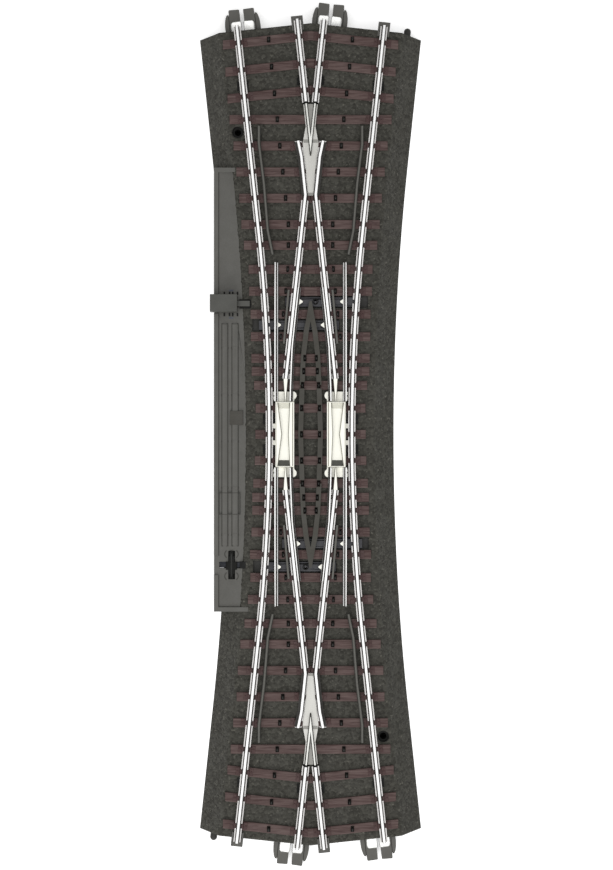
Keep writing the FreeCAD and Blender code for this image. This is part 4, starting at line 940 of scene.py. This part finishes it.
def make_check_rails():
    for corner, (sx, sy) in CORNERS.items():
        path = mirrored([(14.85, 88.6), (14.85, 83.5), (13.4, 72.0), (12.3, 58.5), (10.9, 51.7)], sx, sy)
        build = Build()
        # The check rail's dark base is a strip of painted shade.
        build.sweep(path, [(-0.5, 8.0), (-0.45, 8.35), (0.45, 8.35), (0.5, 8.0)], SHADE_LINE)
        blade = [(-0.29, 8.3), (-0.29, 9.9), (-0.2, 10.0), (0.2, 10.0), (0.29, 9.9), (0.29, 8.3)]
        build.sweep(path, blade, "check_grey")
        build.finish(f"check_rail_{corner}_piece", "bed", [f"check_rail_{corner}"], angle=50)


# ---------------------------------------------------------------- blades
BLADE_LOW = 8.45
TAPER_START = 15.0
PIN_RADIUS = 0.3
HEAD_LOOK = "blade_steel"
SHADE_LOOK = "blade_shade"


def make_blade(kind, corner, heel_x, path, edge, taper, pin_y):
    """A switch blade at rest: a planed head, a dark flank of painted shade and a bright lip on its far side.
    """
    sx, sy = CORNERS[corner]
    tip_y = path[-1][1]
    stations = sorted({y for _, y in path} | {TAPER_START, (TAPER_START + tip_y) / 2, tip_y - 1.0})
    lip = edge - 0.12
    section = [
        (-0.42, RAIL_TOP, HEAD_LOOK), (-0.1, RAIL_TOP, HEAD_LOOK), (-0.06, 10.24, SHADE_LOOK),
        (0.0, 9.5, SHADE_LOOK), (0.33, 8.93, HEAD_LOOK), (lip, 8.88, HEAD_LOOK),
        (lip + 0.04, 8.84, SHADE_LOOK), (lip + 0.04, BLADE_LOW, SHADE_LOOK),
        (-HEAD_HALF, BLADE_LOW, SHADE_LOOK), (-HEAD_HALF, 10.2, HEAD_LOOK),
    ]

    def put(x, y):
        return (sx * heel_x - sx * x, sy * (y + HEEL_Y))

    rings = []
    for y in stations:
        middle = along(path, y)
        planed = taper * max(0.0, (y - TAPER_START) / (tip_y - TAPER_START))
        ring = []
        for u, z, _ in section:
            across = max(u, planed - HEAD_HALF) if u < 0 else u
            ring.append((*put(middle + across, y), z))
        rings.append(ring)
    build = Build()
    build.loft(rings, HEAD_LOOK, [look for _, _, look in section])
    pin_y = abs(pin_y) - HEEL_Y
    centre = along(path, pin_y)
    tab = [(0.3, -0.95), (1.4, -0.2), (1.45, 0.0), (1.4, 0.2), (0.3, 0.95)]
    build.prism([put(centre + x, pin_y + y) for x, y in tab], BLADE_LOW, 8.86, "crossing_nickel", 0.05)
    x, y = put(centre, pin_y)
    build.disc(x, y, 6.5, BLADE_LOW, PIN_RADIUS, SHADE_LOOK)
    node = f"{kind}_blade_{corner}"
    build.finish(f"{node}_piece", node, [node], angle=40)


def make_blades():
    """The eight switch blades and the heel pins they turn on."""
    for corner in CORNERS:
        outer_pin, inner_pin = pin_places(corner)
        make_blade("outer", corner, OUTER_HEEL_X, OUTER_BLADE_PATH, 0.72, 0.15, outer_pin)
        make_blade("inner", corner, SLIP_X, INNER_BLADE_PATH, 0.56, 0.1, inner_pin)
    build = Build()
    for sx, sy in CORNERS.values():
        for x in (OUTER_HEEL_X, SLIP_X):
            build.disc(sx * x, sy * HEEL_Y, SLEEPER_TOP, LOW_CLIP_TOP, PIN_RADIUS, "pin_steel")
    build.finish("heel_pin_stubs", "bed", ["heel_pins"], bevel=0.03)


# ---------------------------------------------------------------- crossing castings
NICKEL = "crossing_nickel"
SHADE = "nickel_shade"
K_WEST = -10.1
K_EAST = -4.7
K_FLOOR = 8.9


def casting_outline():
    """The casting's sole on the west side: a narrow body with a rounded ear at each corner."""
    north = [(-4.7, 0.0), (-4.7, 9.7)]
    for k in range(-3, 4):
        t = math.radians(20 * k)
        north.append((-5.22 + 1.25 * math.cos(t), 11.2 + 1.25 * math.sin(t)))
    north += [(-4.75, 12.35), (-10.7, 12.35), (-10.84, 12.2), (-10.84, 10.35), (-10.6, 9.75), (-10.1, 9.3)]
    return north + mirrored(north[:0:-1], 1, -1)


def make_casting(name, side):
    """An obtuse crossing: a floor between two rims, knee rails on it and a spike at each end."""
    build = Build()

    def placed(points):
        return mirrored(points, -side, 1)

    def box(x0, x1, y0, y1, z0, z1, look, inset=0.0):
        build.prism(placed([(x0, y0), (x1, y0), (x1, y1), (x0, y1)]), z0, z1, look, inset)

    def bar(sign, x0, x1, y0, y1, z0, z1, look, inset=0.0):
        box(x0, x1, *sorted((sign * y0, sign * y1)), z0, z1, look, inset)

    build.prism(placed(casting_outline()), SLEEPER_TOP, FOOT_TOP, NICKEL, 0.05)
    box(K_WEST, K_EAST, -K_REACH, K_REACH, FOOT_TOP, K_FLOOR, NICKEL)
    box(K_WEST, -9.97, -K_REACH, K_REACH, K_FLOOR, 10.25, NICKEL)
    # The shade finish on the groove floors, the knee slopes, the rim's outer line and the spikes' sides is
    # painted shade.
    box(-9.97, -9.84, -K_REACH, K_REACH, K_FLOOR, 9.9, SHADE)
    box(-5.05, K_EAST, -K_REACH, K_REACH, K_FLOOR, 10.28, NICKEL, 0.03)
    box(-5.25, -5.05, -K_REACH, K_REACH, K_FLOOR, 9.8, SHADE)
    for wall, end, middle, lean in ((-9.84, -9.35, -8.18, -0.24), (-5.25, -6.1, -6.5, 0.24)):
        low = [(wall, K_REACH), (end, K_REACH), (middle, 0.0), (end, -K_REACH), (wall, -K_REACH)]
        high = [low[0]] + [(x + lean, y) for x, y in low[1:4]] + [low[4]]
        rings = [[(x, y, K_FLOOR) for x, y in placed(low)], [(x, y, RAIL_TOP) for x, y in placed(high)]]
        build.loft(rings, NICKEL, [NICKEL, SHADE, SHADE, NICKEL, NICKEL])
    for sign in (1, -1):
        # North ramps face south and get painted light; south ramps face north and get painted shade.
        look = "nickel_ramp" if sign > 0 else "nickel_dark"
        wedge = [(-9.3, 9.08, K_FLOOR), (-6.15, 9.08, K_FLOOR), (-6.22, 7.4, K_FLOOR), (-9.08, 7.4, K_FLOOR),
                 (-9.3, 9.08, 9.55), (-6.15, 9.08, 9.55)]
        wedge = [(-side * x, sign * y, z) for x, y, z in wedge]
        build.add(wedge, [(0, 1, 2, 3), (4, 5, 2, 3), (0, 1, 5, 4), (1, 2, 5), (0, 4, 3)], look)
        bar(sign, K_WEST, K_EAST, 9.08, 9.36, FOOT_TOP, 10.1, NICKEL, 0.05)
        bar(sign, K_WEST, K_EAST, 9.36, 9.47, FOOT_TOP, 8.5, SHADE)
        low = [(-7.4, 9.2), (-7.05, 9.2), (-6.35, 15.98), (-8.0, 15.98)]
        high = [(-7.27, 9.4), (-7.18, 9.4), (-6.6, 15.98), (-7.72, 15.98)]
        rings = []
        for points, z in ((low, FOOT_TOP), (high, RAIL_TOP)):
            rings.append([(-side * x, sign * y, z) for x, y in points])
        build.loft(rings, NICKEL, [SHADE] * 4)
        bar(sign, -10.9, -10.05, 1.7, 3.1, 7.9, 8.38, NICKEL, 0.04)
        # Black slots of painted shade beside the tabs.
        bar(sign, -10.85, -10.12, 1.4, 6.15, BED_TOP, 7.6, VOID_SHADE)
        bar(sign, -10.72, -10.4, 10.8, 11.3, 8.38, 8.42, SHADE_LINE)
    build.finish(f"{name}_piece", "bed", [name], bevel=0.03, angle=40, segments=1)


# ---------------------------------------------------------------- frogs
PLATE_TOP = 8.9
NOSE_FOOT = 8.85


def make_frog(way, sign):
    """An acute frog: its plate, then its nose of two rails that meet."""
    back = INSULATOR_Y - 0.3
    build = Build()
    half = [(0.8, 68.7), (1.25, 74.9), (1.82, 79.8), (2.3, 83.4), (2.3, 84.0), (1.43, 88.6)]
    outline = mirrored(half + mirrored(half[::-1], -1, 1), 1, sign)
    build.prism(outline, FOOT_TOP, PLATE_TOP, "frog_metal", 0.04)
    # The bands across the plate: dark sides and grey tops of painted shade.
    for y0, y1, width in ((68.75, 69.55, 0.78), (83.9, 84.9, 2.12)):
        low, high = sorted((sign * y0, sign * y1))
        build.slab(-width, width, low, high, PLATE_TOP - 0.05, PLATE_TOP + 0.03, "frog_edge", 0.02,
                   "frog_band")
    build.finish(f"frog_plate_{way}_piece", "bed", [f"frog_plate_{way}"], angle=40)

    build = Build()
    outside = LEAN * back - RAIL_X + HEAD_HALF
    inside = LEAN * back - RAIL_X - HEAD_HALF
    crotch = (RAIL_X + HEAD_HALF) / LEAN
    sole = [(1.43, 88.6), (2.1, back)]
    outline = mirrored(sole + mirrored(sole[::-1], -1, 1), 1, sign)
    build.prism(outline, SLEEPER_TOP, NOSE_FOOT, "frog_metal", 0.04)
    low = [(0.2, 80.1), (outside + 0.05, back), (inside, back), (0.0, crotch), (-inside, back),
           (-outside - 0.05, back), (-0.2, 80.1)]
    high = [(0.04, 81.2), (outside - 0.27, back), (inside + 0.25, back), (0.0, 85.3),
            (-inside - 0.25, back), (0.27 - outside, back), (-0.04, 81.2)]
    rings = []
    for points, z in ((low, NOSE_FOOT), (high, RAIL_TOP)):
        rings.append([(x, sign * y, z) for x, y in points])
    # The nose's sloped sides are painted shade and its top is a painted highlight.
    build.loft(rings, "frog_edge")
    build.looks[-1] = "frog_bright"
    # A grey web of painted shade in the crotch between the nose rails.
    web = [(0.0, sign * (crotch + 0.3)), (inside, sign * back), (-inside, sign * back)]
    build.prism(web, 8.8, 9.3, "frog_band")
    build.finish(f"frog_nose_{way}_piece", "bed", [f"frog_nose_{way}"], angle=30)


def make_frogs():
    """Both frogs, the insulators in the rails behind them and the wing rails' flared tips."""
    make_frog("north", 1)
    make_frog("south", -1)
    build = Build()
    for sx, sy in CORNERS.values():
        path = mirrored([inner_rail_point(INSULATOR_Y - 0.2), inner_rail_point(INSULATOR_Y + 0.25)], sx, sy)
        half = [(-0.85, SLEEPER_TOP), (-0.85, 8.9), (-0.5, 9.2), (-0.5, RAIL_TOP)]
        build.sweep(path, half + mirrored(half[::-1], -1, 1), "socket_black")
    build.finish("rail_insulators_piece", "bed", ["rail_insulators"], bevel=0.03)
    build = Build()
    for sx, sy in CORNERS.values():
        wing = mirrored(WING[:3], -sx, sy)
        inner = -sx * sy
        # A dark band of painted shade over the foot beside the web.
        band = [(inner * 0.46, 8.42), (inner * 0.46, 8.7), (inner * 1.07, 8.7), (inner * 1.07, 8.42)]
        build.sweep(wing, band, "rail_web")
        x, y = wing[0]
        build.slab(x - 0.95, x + 0.95, y - 0.15, y + 0.12, 8.3, 8.75, "rail_foot", 0.04)
    build.finish("wing_tips", "bed", angle=40)


# ---------------------------------------------------------------- ends
CLIP_MIDDLE = -7.06
CLIP_LOW = 0.8
CLIP_HEAD = [(0.58, 3.1), (0.58, 6.6), (0.72, 6.75), (3.45, 6.85), (3.68, 6.7), (3.74, 6.2), (3.74, 0.0),
             (3.42, 0.0), (3.42, 2.4), (3.25, 2.9), (2.8, 3.1)]
CLIP_GAP = [(3.7, 0.0), (3.7, 5.2), (3.95, 5.2), (3.95, 0.0)]
CLIP_BAR = [(3.85, 0.0), (5.1, 0.0), (5.17, 1.9), (5.05, 3.4), (4.75, 4.7), (4.45, 5.3), (4.15, 5.5),
            (3.85, 5.5)]
TONGUE = [(0.25, 0.0), (3.45, 0.0), (3.45, 2.3), (3.3, 2.9), (2.9, 3.25), (0.75, 3.3), (0.3, 3.0)]


def clip_outline(outline, side, end):
    """An outline of one half of a track clip, set at an end of the track."""
    return at_end([(CLIP_MIDDLE + side * u, v) for u, v in outline], end)


def make_clips():
    """The track clips with a line of painted shade in the gap of each half, the contact tongues between their
    halves and the painted shade lines on the joint tongues.
    """
    for end in ENDS:
        build = Build()
        for side in (1, -1):
            for outline, top, inset in ((CLIP_HEAD, 4.6, 0.07), (CLIP_GAP, 4.2, 0.0), (CLIP_BAR, 4.5, 0.1)):
                points = clip_outline(outline, side, end)
                if inset:
                    rings = [[(x, y, CLIP_LOW) for x, y in points], [(x, y, top - inset) for x, y in points],
                             [(x, y, top) for x, y in shrunk(points, inset)]]
                    build.loft(rings, "deck_grey")
                else:
                    build.prism(points, CLIP_LOW, top, SHADE_LINE)
        node = f"track_clip_{end}"
        build.finish(f"{node}_piece", "bed", [node], angle=35)
    contacts = Build()
    lines = Build()
    for end in ENDS:
        for side in (1, -1):
            points = clip_outline(TONGUE, side, end)
            rings = [[(x, y, 4.45) for x, y in points]]
            for z, inset in ((4.8, 0.02), (4.98, 0.2), (4.9, 0.45)):
                rings.append([(x, y, z) for x, y in shrunk(points, inset)])
            contacts.loft(rings, "contact_tin")
            a, b = RAIL + side * 1.22, RAIL + side * 1.3
            lines.prism(at_end([(a, 0.05), (b, 0.05), (b, 2.3), (a, 2.3)], end), 7.9, 7.97, SHADE_LINE)
    contacts.finish("joiner_contacts_piece", "bed", ["joiner_contacts"], angle=60)
    lines.finish("tongue_lines", "bed", angle=35)


# ---------------------------------------------------------------- drive housing
RODS = [(-25.5, -24.0), (-22.6, -21.0)]
ROD_COLLARS = (24.9, 11.3, -2.05, -15.5, -29.1)
SOCKET_X = -22.85
SOCKET_Y = -37.75
LINE_LOW = DECK_TOP - 0.1
LINE_TOP = DECK_TOP + 0.02


def make_housing_details():
    """The lines of painted shade, the collars and the marks on the drive housing's deck."""
    build = Build()

    def line(x0, x1, y0, y1, look=SHADE_LINE, top=LINE_TOP):
        build.slab(x0, x1, y0, y1, LINE_LOW, top, look)

    # Dark lines of painted shade along each rod's edges and round its collars.
    for low, high in RODS:
        for x in (low, high):
            line(x - 0.26, x + 0.26, -32.4, 32.1)
        for y in ROD_COLLARS:
            line(low - 0.35, high + 0.35, y - 0.3, y + 0.3, top=DECK_TOP + 0.06)
            build.slab(low + 0.1, high - 0.1, y - 0.42, y + 0.42, DECK_TOP, 7.36, "deck_grey", 0.05)
    for y0, y1 in ((-49.9, -40.6), (-35.1, 34.9), (40.5, 75.7)):
        line(-26.78, -26.42, y0, y1)
    line(-26.42, -18.8, -49.92, -49.7)
    build.slab(-23.3, -19.5, 2.7, 6.8, DECK_TOP, 7.44, SHADE_LINE, 0.05, "deck_shadow")
    # Dark marks of painted shade in the slots beside the rods.
    for x in (-24.9, -23.4, -22.5, -21.1):
        for y0, y1 in ((40.3, 41.2), (34.1, 35.1)):
            line(x - 0.25, x + 0.25, y0, y1, VOID_SHADE)
    for y0, y1 in ((41.3, 41.8), (33.4, 33.9)):
        line(-23.6, -22.3, y0, y1, "slider_blue")
    for x0, x1, y0, y1 in ((-26.5, -20.3, -17.0, -16.82), (-26.5, -20.3, -23.2, -23.02),
                           (-20.48, -20.3, -23.02, -17.0), (-26.5, -26.32, -23.02, -17.0)):
        line(x0, x1, y0, y1, top=7.33)
    for y in (-34.6, -41.0):
        for way in (0, math.pi):
            path = []
            for k in range(-4, 5):
                t = way + math.radians(11 * k)
                path.append((SOCKET_X + 1.95 * math.cos(t), y + 1.5 * math.sin(t)))
            build.sweep(path, [(-0.17, LINE_LOW), (-0.17, LINE_TOP), (0.17, LINE_TOP), (0.17, LINE_LOW)],
                        SHADE_LINE)
    build.finish("housing_details", "bed", angle=35)


def make_voids():
    """Painted shade: a dark block in the notch round the lever's arm and in the slider's window, and dark
    linings and floors in the fixing holes.
    """
    build = Build()
    notch = [(-20.5, 36.3), (-17.5, 36.3), (-17.2, 36.5), (-17.1, 37.6), (-17.2, 38.7), (-17.5, 38.95),
             (-20.5, 38.95)]
    build.prism(notch, DECK_TOP, 7.44, VOID_SHADE)
    build.slab(-20.4, -18.75, SOCKET_Y - 0.95, SOCKET_Y + 0.95, 6.6, 7.46, VOID_SHADE)
    lining = [(1.62, 7.26), (1.56, 7.26), (1.56, 6.46), (0.98, 6.46), (0.98, 0.4), (1.02, 0.4), (1.02, 6.42),
              (1.62, 6.42)]
    for sign in (1, -1):
        x, y = sign * SCREW[0], -sign * SCREW[1]
        rings = []
        for i in range(25):
            t = 2 * math.pi * i / 24
            rings.append([(x + radius * math.cos(t), y + radius * math.sin(t), z) for radius, z in lining])
        build.loft(rings, VOID_SHADE)
        build.disc(x, y, 0.4, 0.6, 1.03, VOID_SHADE)
    build.finish("bed_voids", "bed", angle=35)


def make_socket():
    """The cross-shaped socket, the floor of the window beside it and the slider's plate."""
    build = Build()
    for half, south, north, low, high, look, inset in (
        (0.65, 4.05, 4.1, 5.72, 7.2, "socket_black", 0.06), (0.95, 2.6, 2.6, 6.92, 7.3, "socket_black", 0.06),
        (1.6, 1.4, 0.95, 6.94, 7.38, "socket_black", 0.08), (0.25, 3.4, 3.4, 7.2, 7.4, "stud_metal", 0.04),
    ):
        build.slab(SOCKET_X - half, SOCKET_X + half, SOCKET_Y - south, SOCKET_Y + north, low, high, look,
                   inset)
    build.finish("lantern_socket_piece", "bed", ["lantern_socket"], bevel=0.04)
    build = Build()
    build.slab(-26.4, -24.3, SOCKET_Y - 0.9, SOCKET_Y + 0.9, 4.1, 4.5, "slider_blue", 0.04)
    build.finish("window_floor", "bed", bevel=0.04)
    build = Build()
    build.slab(-22.2, -19.8, SOCKET_Y - 0.9, SOCKET_Y + 0.75, 5.3, 5.66, "slider_blue", 0.04)
    build.finish("slider_plate", "outer_tie_bar_south", bevel=0.04)


def make_bar_rings():
    """The collar round each outer bar's link pin, and a dark cap on every link pin."""
    for way, sign in (("north", 1), ("south", -1)):
        build = Build()
        outer = circle(sign * 1.43, sign * 38.3, 0.88, 24)
        inner = circle(sign * 1.43, sign * 38.3, 0.6, 24)
        points = [(x, y, z) for z in (7.66, 7.86) for x, y in outer + inner]
        faces = []
        for i in range(24):
            j = (i + 1) % 24
            faces += [(i, j, 48 + j, 48 + i), (24 + j, 24 + i, 72 + i, 72 + j),
                      (48 + i, 48 + j, 72 + j, 72 + i), (j, i, 24 + i, 24 + j)]
        build.add(points, faces, "socket_black")
        build.finish(f"bar_ring_{way}", f"outer_tie_bar_{way}", bevel=0.04)
        build = Build()
        for x, y in ((1.43, 38.11), (3.41, 31.54)):
            build.disc(sign * x, sign * y, 7.6, 7.92, 0.32, "bar_black")
        build.finish(f"link_pin_caps_{way}", f"rocker_{way}", bevel=0.04)


# ---------------------------------------------------------------- recesses and studs
RECESSES = [(13.0, 13.8, 2.9, 5.75), (17.9, 18.7, 99.3, 102.0), (20.4, 21.2, 99.1, 101.8),
            (3.2, 4.0, 100.8, 103.6)]
STUD_SHAPE = [(5.3, 0.3, 0.55), (8.9, 0.3, 0.55), (9.12, 0.26, 0.44), (9.26, 0.17, 0.26)]


def make_recesses():
    """The slots in the ballast beside the castings and near the ends, as dark slabs of painted shade."""
    build = Build()
    for sx, sy in CORNERS.values():
        for x0, x1, y0, y1 in RECESSES:
            build.slab(*sorted((sx * x0, sx * x1)), *sorted((sy * y0, sy * y1)), 7.0, 7.42, VOID_SHADE)
    build.finish("ballast_recesses", "bed", angle=35)


def make_studs():
    """The centre contact studs, narrowed towards their tips."""
    build = Build()
    for x, y in stud_places():
        rings = []
        for z, half_x, half_y in STUD_SHAPE:
            rings.append([(x - half_x, y - half_y, z), (x + half_x, y - half_y, z),
                          (x + half_x, y + half_y, z), (x - half_x, y + half_y, z)])
        build.loft(rings, "stud_metal")
    build.finish("contact_stud_tips", "bed", ["contact_studs"], bevel=0.05, angle=50)


def repaint():
    """Procedural finishes for the CAD nodes that stay."""
    for node, shown in frame["nodes"].items():
        if not shown.hide_render:
            look = "underside_black" if node == "roadbed" else NODE_FINISH[node]
            shown.data.materials.clear()
            shown.data.materials.append(FINISH[look])


make_stage()
make_studio()
make_ballast()
make_sleepers()
make_rails()
make_chairs()
make_studs()
make_rounded()
make_guide()
make_check_rails()
make_blades()
make_casting("crossing_west", -1)
make_casting("crossing_east", 1)
make_frogs()
make_clips()
make_housing_details()
make_voids()
make_socket()
make_bar_rings()
make_recesses()
repaint()

bpy.context.view_layer.update()
